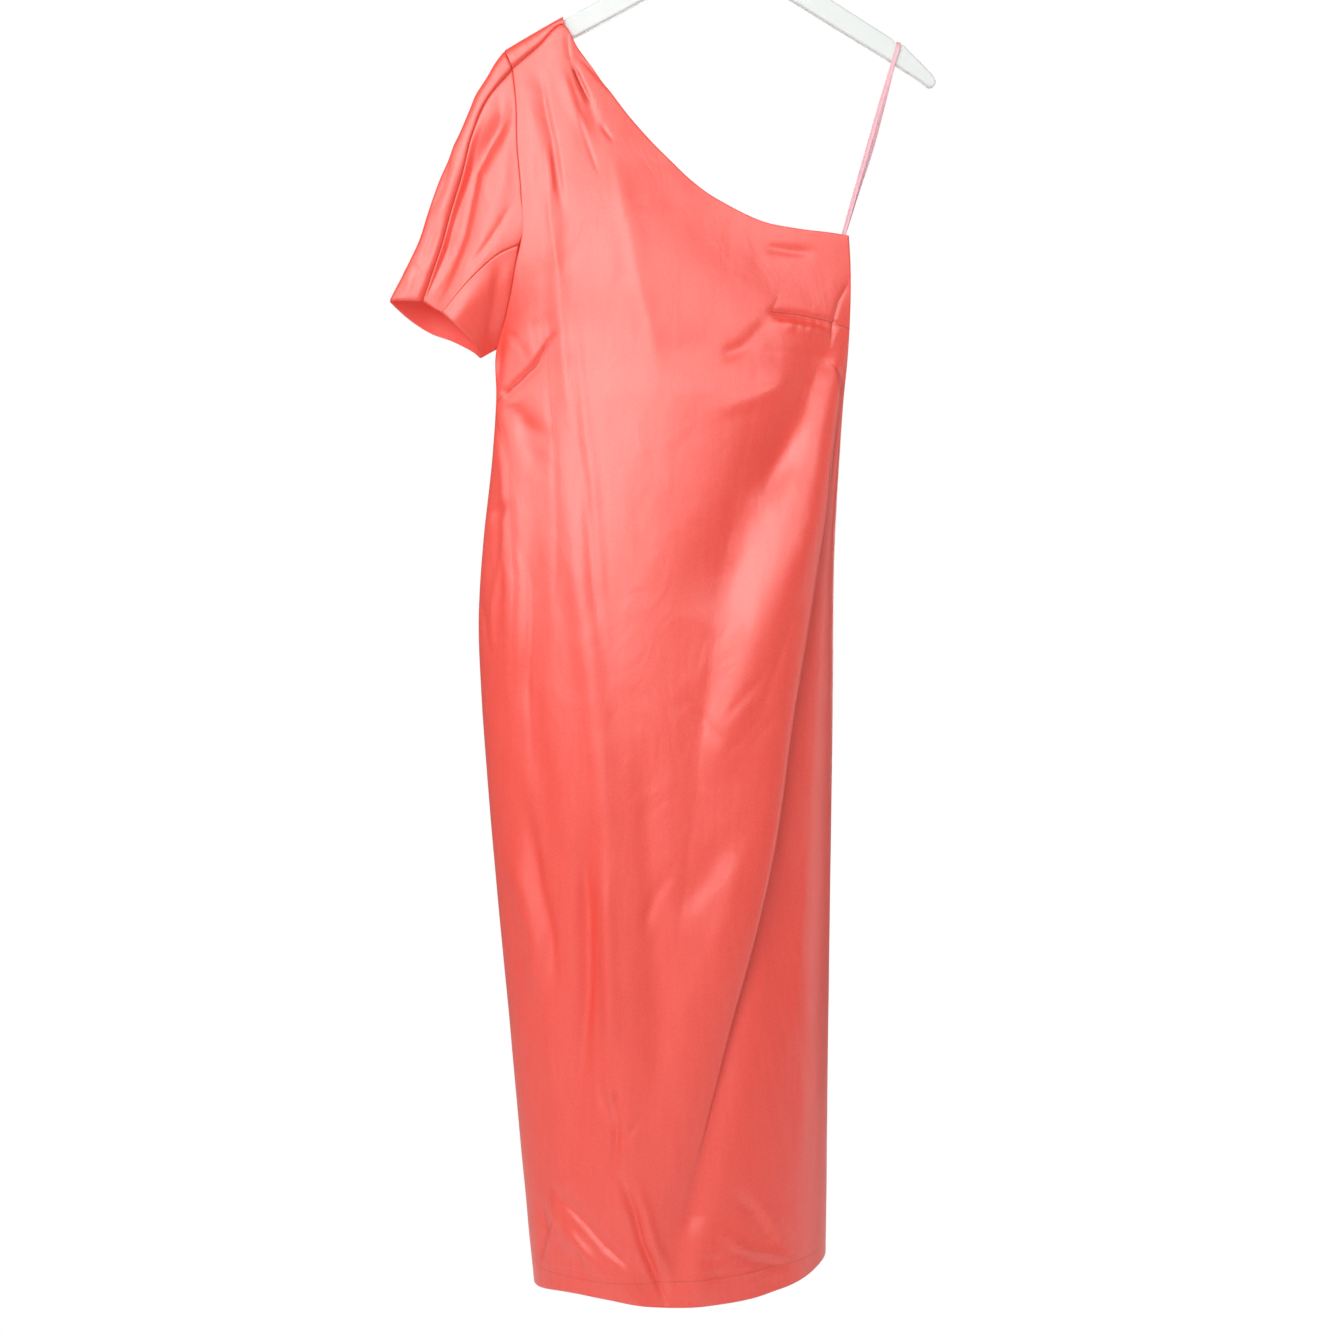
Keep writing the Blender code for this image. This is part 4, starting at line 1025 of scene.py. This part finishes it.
BACK_STRIP_CREASES = (
    (2.0, 4, 4, (527, 55), (510, 72), (480, 110), (465, 167), (452, 205), (439, 247), (420, 307)),  # proud seam edge
    (-1.6, 4, 4, (452, 150), (443, 185), (430, 215)),
    (1.2, 4, 4, (458, 160), (448, 195), (436, 226)),
    (-1.5, 4, 4, (436, 222), (428, 250), (420, 270)),
    (-1.4, 3, 3, (412, 262), (420, 276), (416, 292)),
    (1.2, 3, 3, (405, 270), (410, 284), (405, 296)),
    (-1.4, 5, 5, (475, 95), (463, 120), (452, 145)),
    (-1.2, 4, 4, (535, 38), (520, 46), (508, 56)),
    (-1.0, 3, 3, (548, 32), (540, 42)),
)
GUSSET_CREASES = (
    (-1.5, 8, 8, (500, 262), (494, 300), (488, 340)),
    (1.5, 8, 8, (512, 262), (507, 300), (498, 335)),
)

# %% The sleeve
long = np.linspace(0, 1, 91)
down = np.linspace(0, 1, 71)
ARMHOLE_END = GUSSET_SEAM[0][1:]
armhole = [((row[0] - TOP_LEVEL) / (ARMHOLE_END[1] - TOP_LEVEL), *row[1:]) for row in FRONT_LEFT if row[0] < 405]
armhole += [(1.0, *ARMHOLE_END)]
sleeve = coons(ARM_SEAM, GUSSET_SEAM, armhole, CUFF_FRONT, down, long)
_, out = across(sleeve)
edge = ease(down, 0, 0.08) * (1 - ease(down, 0.92, 1))
keep = edge[:, None] * ease(long, 0, 0.12)[None, :]
sleeve = raised(sleeve, seen(sleeve), SLEEVE_CREASES, out, keep)
_, out = across(sleeve)
sleeve = rolled(sleeve, out, 1.0, top=True, bottom=True, left=True, right=True)
sleeve_front = cloth("sleeve_front_panel", inset(sleeve, 0.1, 0.1, 0.5), coral, inside, -1)
worn(sleeve_front, "sleeve_front")

sleeve = coons(ARM_TOP, UNDERARM, ARMHOLE_BACK, CUFF_BACK, np.linspace(0, 1, 91) ** 1.25, long)
wrap = over(through(ARM_SEAM, long), sleeve[0], np.linspace(0, 1, 13)[:-1])
sleeve = np.concatenate([wrap, sleeve])
_, out = across(sleeve)
rows = np.arange(len(sleeve))
keep = (ease(rows, 0, 2) * (1 - ease(rows, len(rows) - 8, len(rows) - 1)))[:, None] * ease(long, 0, 0.1)[None, :]
in_sight = sleeve[..., 2] < 8
sleeve = raised(sleeve, seen(sleeve), BACK_STRIP_CREASES, -out, keep * in_sight)
sleeve -= out * wobble(sleeve[..., :2] + 90, 0.9)[..., None] * keep[..., None]
_, out = across(sleeve)
sleeve = rolled(sleeve, -out, 1.4, bottom=True, left=True, right=True)
sleeve_back = cloth("sleeve_back_panel", inset(sleeve, 0.1, 0.2, 0.5), coral, inside)
worn(sleeve_back, "sleeve_back")

under = [(0.0, -208.9, 409.0, -31.5), (0.2, -212.5, 430, -29), (0.52, -219.8, 463, -21), (0.78, -226.8, 489, -11),
         (1.0, -233.6, 511, 0)]
gusset = coons(GUSSET_SEAM, UNDERARM, under, CUFF_GUSSET, np.linspace(0, 1, 61), np.linspace(0, 1, 61))
_, out = across(gusset)
gusset = raised(gusset, seen(gusset), GUSSET_CREASES, out, np.ones(gusset.shape[:2]))
gusset = rolled(gusset, out, 1.4, top=True, bottom=True, left=True, right=True)
gusset_piece = cloth("sleeve_gusset_panel", inset(gusset, 0.1, 0.2, 0.3), coral, inside, -1)
worn(gusset_piece, "sleeve_gusset")

# %% [markdown]
# Sewing is real thread: a row of small stitches holds the turned hem, and a few close ones, a bar tack, anchor the
# ribbon loop at the strapless corner. A stitch is a small bead of thread pulled slightly into the cloth.

# %% Stitches
def stitches(name, points, outs, length=2.0, radius=0.28):
    """One small capsule of thread at each point, lying along the row and just proud of the cloth."""
    bm = bmesh.new()
    for k in range(0, len(points) - 1):
        here, ahead = Vector(points[k]), Vector(points[k + 1])
        way = (ahead - here).normalized()
        side = Vector(outs[k]).cross(way).normalized()
        made = bmesh.ops.create_icosphere(bm, subdivisions=1, radius=1.0)
        for vert in made["verts"]:
            a, b, c = vert.co
            vert.co = here + way * (a * length / 2 * MM) + side * (b * radius * MM)
            vert.co += Vector(outs[k]) * (c * radius * MM)
    mesh = bpy.data.meshes.new(name)
    for face in bm.faces:
        face.smooth = True
    bm.to_mesh(mesh)
    bm.free()
    mesh.materials.append(thread)
    obj = added(name, mesh)
    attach(obj, "root")
    print(name, len(points) - 1, "stitches")
    return obj


def row_above_hem(surface, side, above, pitch, wall=0.45):
    """Points and outward directions along a line this far above the hem, one for each stitch."""
    _, out = across(surface)
    run = np.cumsum(np.linalg.norm(np.diff(surface[::-1], axis=0), axis=2), axis=0)
    found = []
    for i in range(surface.shape[1]):
        place = len(surface) - 1 - np.interp(above, np.concatenate([[0], run[:, i]]), np.arange(len(surface)))
        j = int(place)
        part, after = place - j, min(j + 1, len(surface) - 1)
        normal = side * ((1 - part) * out[j, i] + part * out[after, i])
        found.append(np.concatenate([(1 - part) * surface[j, i] + part * surface[after, i], normal]))
    found = np.array(found)
    steps = np.concatenate([[0], np.cumsum(np.linalg.norm(np.diff(found[:, :3], axis=0), axis=1))])
    at = np.arange(4, steps[-1] - 4, pitch)
    line = np.stack([np.interp(at, steps, found[:, k]) for k in range(6)], axis=1)
    outs = np.stack([line[:, 3], line[:, 5], -line[:, 4]], axis=1)
    outs /= np.linalg.norm(outs, axis=1, keepdims=True)
    points = np.stack([line[:, 0], line[:, 2], -line[:, 1]], axis=1) + outs * (wall - 0.08)
    return points * MM, outs


HEM_TURN, STITCH_PITCH = 24, 3.4  # mm from the hem up to its stitches, and from one stitch to the next
TACK_START, TACK_PITCH = 833.5, 0.72  # the bar tack's first stitch and the step to the next, in pixels

stitches("hem_stitches_front", *row_above_hem(front, -1, HEM_TURN, STITCH_PITCH))
stitches("hem_stitches_back", *row_above_hem(back, 1, HEM_TURN, STITCH_PITCH))

tack = []
for k in range(13):
    i = int(np.argmin(np.abs(seen(front[3])[:, 0] - (TACK_START + TACK_PITCH * k))))
    x, drop, y = front[2, i]
    tack.append((x * MM, (y - 0.75) * MM, -(drop + 0.2 + 0.25 * (k % 2)) * MM))
stitches("bar_tack", tack, [(0, -1, 0)] * len(tack), 1.3, 0.42)

# %% [markdown]
# The ribbon is sewn inside the strapless corner and goes up over the hanger's notch and back down, as one loop. Its
# two strands part a little on the way, and its edges are woven slightly thicker than its middle.

# %% Ribbon loop
HANGER_TURN, HANGER_DROP = math.radians(1.75), 81.0


def turned(x, drop):
    """A point of the hanger's own plane where it hangs, in (x, drop)."""
    c, s = math.cos(HANGER_TURN), math.sin(HANGER_TURN)
    return x * c - drop * s, HANGER_DROP + x * s + drop * c


def tube(name, points, sides, material, node, smooth=True):
    """Rings of these (side, out) points carried along a line of (x, drop, y) points, with its ends capped."""
    bm = bmesh.new()
    line = [Vector((x, y, -drop)) * MM for x, drop, y in points]
    side = (line[1] - line[0]).cross(Vector((0, 1, 0)))
    ring = bmesh.ops.create_circle(bm, cap_ends=True, segments=len(sides), radius=1.0)["verts"]
    rim = list(ring)
    before = None
    for k, here in enumerate(line):
        way = (line[min(k + 1, len(line) - 1)] - line[max(k - 1, 0)]).normalized()
        side = (side - way * side.dot(way)).normalized()
        out = way.cross(side)
        places = [here + (side * a + out * b) * MM for a, b in sides]
        if before is None:
            before = rim
        else:
            edges = [next(e for e in vert.link_edges if e.other_vert(vert) is before[(n + 1) % len(before)])
                     for n, vert in enumerate(before)]
            made = bmesh.ops.extrude_edge_only(bm, edges=edges)["geom"]
            fresh = [item for item in made if isinstance(item, bmesh.types.BMVert)]
            follow = {}
            for vert in fresh:
                for edge in vert.link_edges:
                    other = edge.other_vert(vert)
                    if other in before:
                        follow[other] = vert
            before = [follow[vert] for vert in before]
        for vert, place in zip(before, places):
            vert.co = place
    bmesh.ops.contextual_create(bm, geom=before)
    bmesh.ops.recalc_face_normals(bm, faces=bm.faces)
    for face in bm.faces:
        face.smooth = smooth
    mesh = bpy.data.meshes.new(name)
    bm.to_mesh(mesh)
    bm.free()
    mesh.materials.append(material)
    obj = added(name, mesh)
    print(name, len(points), "rings")
    return worn(obj, node)


def smoothed(points, count):
    """A smooth line through these points."""
    points = np.array(points, float)
    run = np.concatenate([[0], np.cumsum(np.linalg.norm(np.diff(points, axis=0), axis=1))])
    return through(np.column_stack([run, points]), np.linspace(0, run[-1], count))


pink = satin("pink_ribbon", (0.80, 0.44, 0.50), (0.72, 0.34, 0.41), 0.4, 0.5, 0.05, 0.0, 0.05, "Object")
notch_x, notch_drop = turned(183.2, 111.6)
front_strand = [
    # x, drop, y
    (121.5, 399.5, -0.72), (124.0, 391.0, -0.75), (136.0, 348.0, -2.2), (148.5, 304.0, -3.8),
    (162.0, 257.0, -5.4), (notch_x - 4.4, notch_drop + 15, -6.9), (notch_x - 0.8, notch_drop + 3, -6.9)]
bend = [(notch_x - 0.2, notch_drop - 1.0, -6.2), (notch_x, notch_drop - 2.2, -4.0), (notch_x, notch_drop - 2.5, 0),
        (notch_x, notch_drop - 2.2, 4.0), (notch_x - 0.2, notch_drop - 1.0, 6.2)]
back_strand = [(x + shift, drop, -y) for (x, drop, y), shift in zip(front_strand, (0, 0.3, 2.0, 4.0, 3.0, 0.6, 0))]
flat_ribbon = [(-2.2, -0.3), (-1.9, -0.42), (-1.4, -0.3), (1.4, -0.3), (1.9, -0.42), (2.2, -0.3),
               (2.2, 0.3), (1.9, 0.42), (1.4, 0.3), (-1.4, 0.3), (-1.9, 0.42), (-2.2, 0.3)]
ribbon_line = smoothed(front_strand + bend + back_strand[::-1], 120)
tube("ribbon_loop", ribbon_line, flat_ribbon, pink, "hanger_loop")

# %% [markdown]
# The hanger is one moulding of white plastic. Its outline is smoothed, and every edge is rounded as a mould needs,
# so a light line runs along the arms. The hook is a bent steel wire pushed into its socket.

# %% Hanger and hook
ARM_OUTLINE = (
    # x, drop below the middle of the hanger's top: one arm, round its end and back
    (0.0, -6.0),
    (9.0, -3.0),
    (22.0, 13.5),
    (60.0, 35.9),
    (120.0, 71.8),
    (176.0, 105.2),
    (179.5, 109.6),
    (183.2, 111.6),
    (186.6, 110.6),
    (189.5, 112.8),
    (205.0, 127.5),
    (219.0, 141.0),
    (223.0, 147.5),
    (221.5, 153.5),
    (216.0, 154.5),
    (206.0, 147.5),
    (168.7, 124.7),
    (120.0, 97.0),
    (81.0, 74.2),
    (30.0, 45.5),
    (0.0, 38.0),
)


def plastic(name):
    material, nodes, links, shader = blank(name)
    place = nodes.new("ShaderNodeTexCoord")
    noise, scuffs = nodes.new("ShaderNodeTexNoise"), nodes.new("ShaderNodeTexNoise")
    put(noise, Scale=900, Detail=2)
    put(scuffs, Scale=45, Detail=4)
    for texture in (noise, scuffs):
        links.new(place.outputs["Object"], texture.inputs["Vector"])
    rough, tint, bump = nodes.new("ShaderNodeMapRange"), nodes.new("ShaderNodeMix"), nodes.new("ShaderNodeBump")
    put(rough, To_Min=0.28, To_Max=0.5)
    links.new(scuffs.outputs["Fac"], rough.inputs["Value"])
    links.new(rough.outputs["Result"], shader.inputs["Roughness"])
    tint.data_type = "RGBA"
    put(tint, A=(0.70, 0.74, 0.73, 1), B=(0.67, 0.71, 0.70, 1))
    links.new(scuffs.outputs["Fac"], tint.inputs["Factor"])
    links.new(tint.outputs["Result"], shader.inputs["Base Color"])
    put(bump, Strength=0.1, Distance=0.1 * MM)
    links.new(noise.outputs["Fac"], bump.inputs["Height"])
    links.new(bump.outputs["Normal"], shader.inputs["Normal"])
    return material


def wire(name):
    material, nodes, links, shader = blank(name)
    put(shader, Base_Color=(0.72, 0.72, 0.73, 1), Metallic=1.0)
    place, noise = nodes.new("ShaderNodeTexCoord"), nodes.new("ShaderNodeTexNoise")
    rough = nodes.new("ShaderNodeMapRange")
    put(noise, Scale=260, Detail=5)
    put(rough, To_Min=0.16, To_Max=0.36)
    links.new(place.outputs["Object"], noise.inputs["Vector"])
    links.new(noise.outputs["Fac"], rough.inputs["Value"])
    links.new(rough.outputs["Result"], shader.inputs["Roughness"])
    return material


HALF_THICK = 5.0  # the moulding is a centimetre thick
WIRE_RADIUS, BEND_RADIUS = 1.75, 20.0  # the hook's wire, and the inside of its bend

outline = [turned(x, drop) for x, drop in ARM_OUTLINE] + [turned(-x, drop) for x, drop in ARM_OUTLINE[-2:0:-1]]
bm = bmesh.new()
bmesh.ops.create_circle(bm, cap_ends=True, segments=len(outline), radius=1.0)
start = bm.faces[:][0]
for vert, (x, drop) in zip([loop.vert for loop in start.loops], outline):
    vert.co = (x * MM, -HALF_THICK * MM, -drop * MM)
moved = bmesh.ops.extrude_face_region(bm, geom=[start])
for vert in (item for item in moved["geom"] if isinstance(item, bmesh.types.BMVert)):
    vert.co.y = HALF_THICK * MM
bmesh.ops.recalc_face_normals(bm, faces=bm.faces)
mesh = bpy.data.meshes.new("hanger_moulding")
for face in bm.faces:
    face.smooth = True
bm.to_mesh(mesh)
bm.free()
mesh.materials.append(plastic("white_plastic"))
moulding = added("hanger_moulding", mesh)
soft = moulding.modifiers.new("edges", "BEVEL")
soft.width = 2.4 * MM
soft.segments = 5
soft.limit_method = "ANGLE"
soft.angle_limit = math.radians(50)
soft.harden_normals = True
worn(moulding, "hanger")

reach = BEND_RADIUS + WIRE_RADIUS
stem = [(0, 94, 0), (0, 84, 0), (0, 74, 0), (0, 66, 0), (0, 58, 0), (0.6, 51, 0), (3.2, 45.5, 0)]
turn = [math.radians(a) for a in range(-55, 196, 5)]
hook = [(reach * math.cos(a), BEND_RADIUS - reach * math.sin(a), 0) for a in turn]
round_wire = [(WIRE_RADIUS * math.cos(math.tau * k / 20), WIRE_RADIUS * math.sin(math.tau * k / 20)) for k in range(20)]
tube("hook_wire", smoothed(stem + hook, 110), round_wire, wire("steel_wire"), "hanger_hook")

# %% [markdown]
# The studio is plain. The key is a broad soft light from the upper left in front. Three weaker ones fill in from the
# upper right, the left and the right, and one behind lights the back. It is white all round, with a pale floor some
# way below the hem, since the dress hangs free.

# %% Floor and light
FLOOR_Z, WORLD_LIGHT = -1.80, 0.22

bm = bmesh.new()
bmesh.ops.create_grid(bm, x_segments=1, y_segments=1, size=6)
for vert in bm.verts:
    vert.co.z = FLOOR_Z
mesh = bpy.data.meshes.new("floor")
bm.to_mesh(mesh)
bm.free()
floor = added("floor", mesh)
pale, nodes, links, ground = blank("pale_floor")
put(ground, Base_Color=(0.9, 0.9, 0.9, 1), Roughness=0.9)
lit, rays = nodes.new("ShaderNodeEmission"), nodes.new("ShaderNodeLightPath")
choose = nodes.new("ShaderNodeMixShader")
put(lit, Color=(1, 1, 1, 1))
links.new(rays.outputs["Is Camera Ray"], choose.inputs["Fac"])
links.new(ground.outputs["BSDF"], choose.inputs[1])
links.new(lit.outputs["Emission"], choose.inputs[2])
output = next(node for node in nodes if node.type == "OUTPUT_MATERIAL")
links.new(choose.outputs["Shader"], output.inputs["Surface"])
mesh.materials.append(pale)


def softbox(name, at, towards, size, watts, colour):
    lamp = bpy.data.lights.new(name, "AREA")
    lamp.shape, lamp.size, lamp.size_y = "RECTANGLE", size[0], size[1]
    lamp.energy, lamp.color = watts, colour
    obj = added(name, lamp)
    obj.location = at
    obj.rotation_euler = (Vector(towards) - Vector(at)).to_track_quat("-Z", "Y").to_euler()


softbox("key", (-1.0, -2.0, 0.45), (-0.06, 0, -0.55), (1.8, 2.0), 49, (1.0, 0.98, 0.96))
softbox("upper_fill", (0.8, -2.0, 0.6), (0.0, 0, -0.4), (1.3, 1.0), 14, (1.0, 0.98, 0.97))
softbox("left_fill", (-2.0, -0.6, 0.2), (-0.2, 0, -0.4), (1.2, 1.2), 11, (1.0, 0.98, 0.97))
softbox("right_fill", (2.0, 0.1, -0.8), (0, 0, -0.8), (1.0, 2.0), 7, (1.0, 0.98, 0.97))
softbox("back_fill", (0.5, 2.4, 0.0), (0, 0, -0.7), (2.0, 2.0), 45, (1.0, 0.98, 0.97))

world = bpy.data.worlds.new("studio")
bpy.context.scene.world = world
world.use_nodes = True
nodes, links = world.node_tree.nodes, world.node_tree.links
light = next(node for node in nodes if node.type == "BACKGROUND")
white, rays = nodes.new("ShaderNodeBackground"), nodes.new("ShaderNodeLightPath")
choose = nodes.new("ShaderNodeMixShader")
put(light, Color=(1, 1, 1, 1), Strength=WORLD_LIGHT)
put(white, Color=(1, 1, 1, 1), Strength=1.0)
links.new(rays.outputs["Is Camera Ray"], choose.inputs["Fac"])
links.new(light.outputs["Background"], choose.inputs[1])
links.new(white.outputs["Background"], choose.inputs[2])
links.new(choose.outputs["Shader"], next(node for node in nodes if node.type == "OUTPUT_WORLD").inputs["Surface"])
bpy.context.scene.view_settings.view_transform = "Standard"
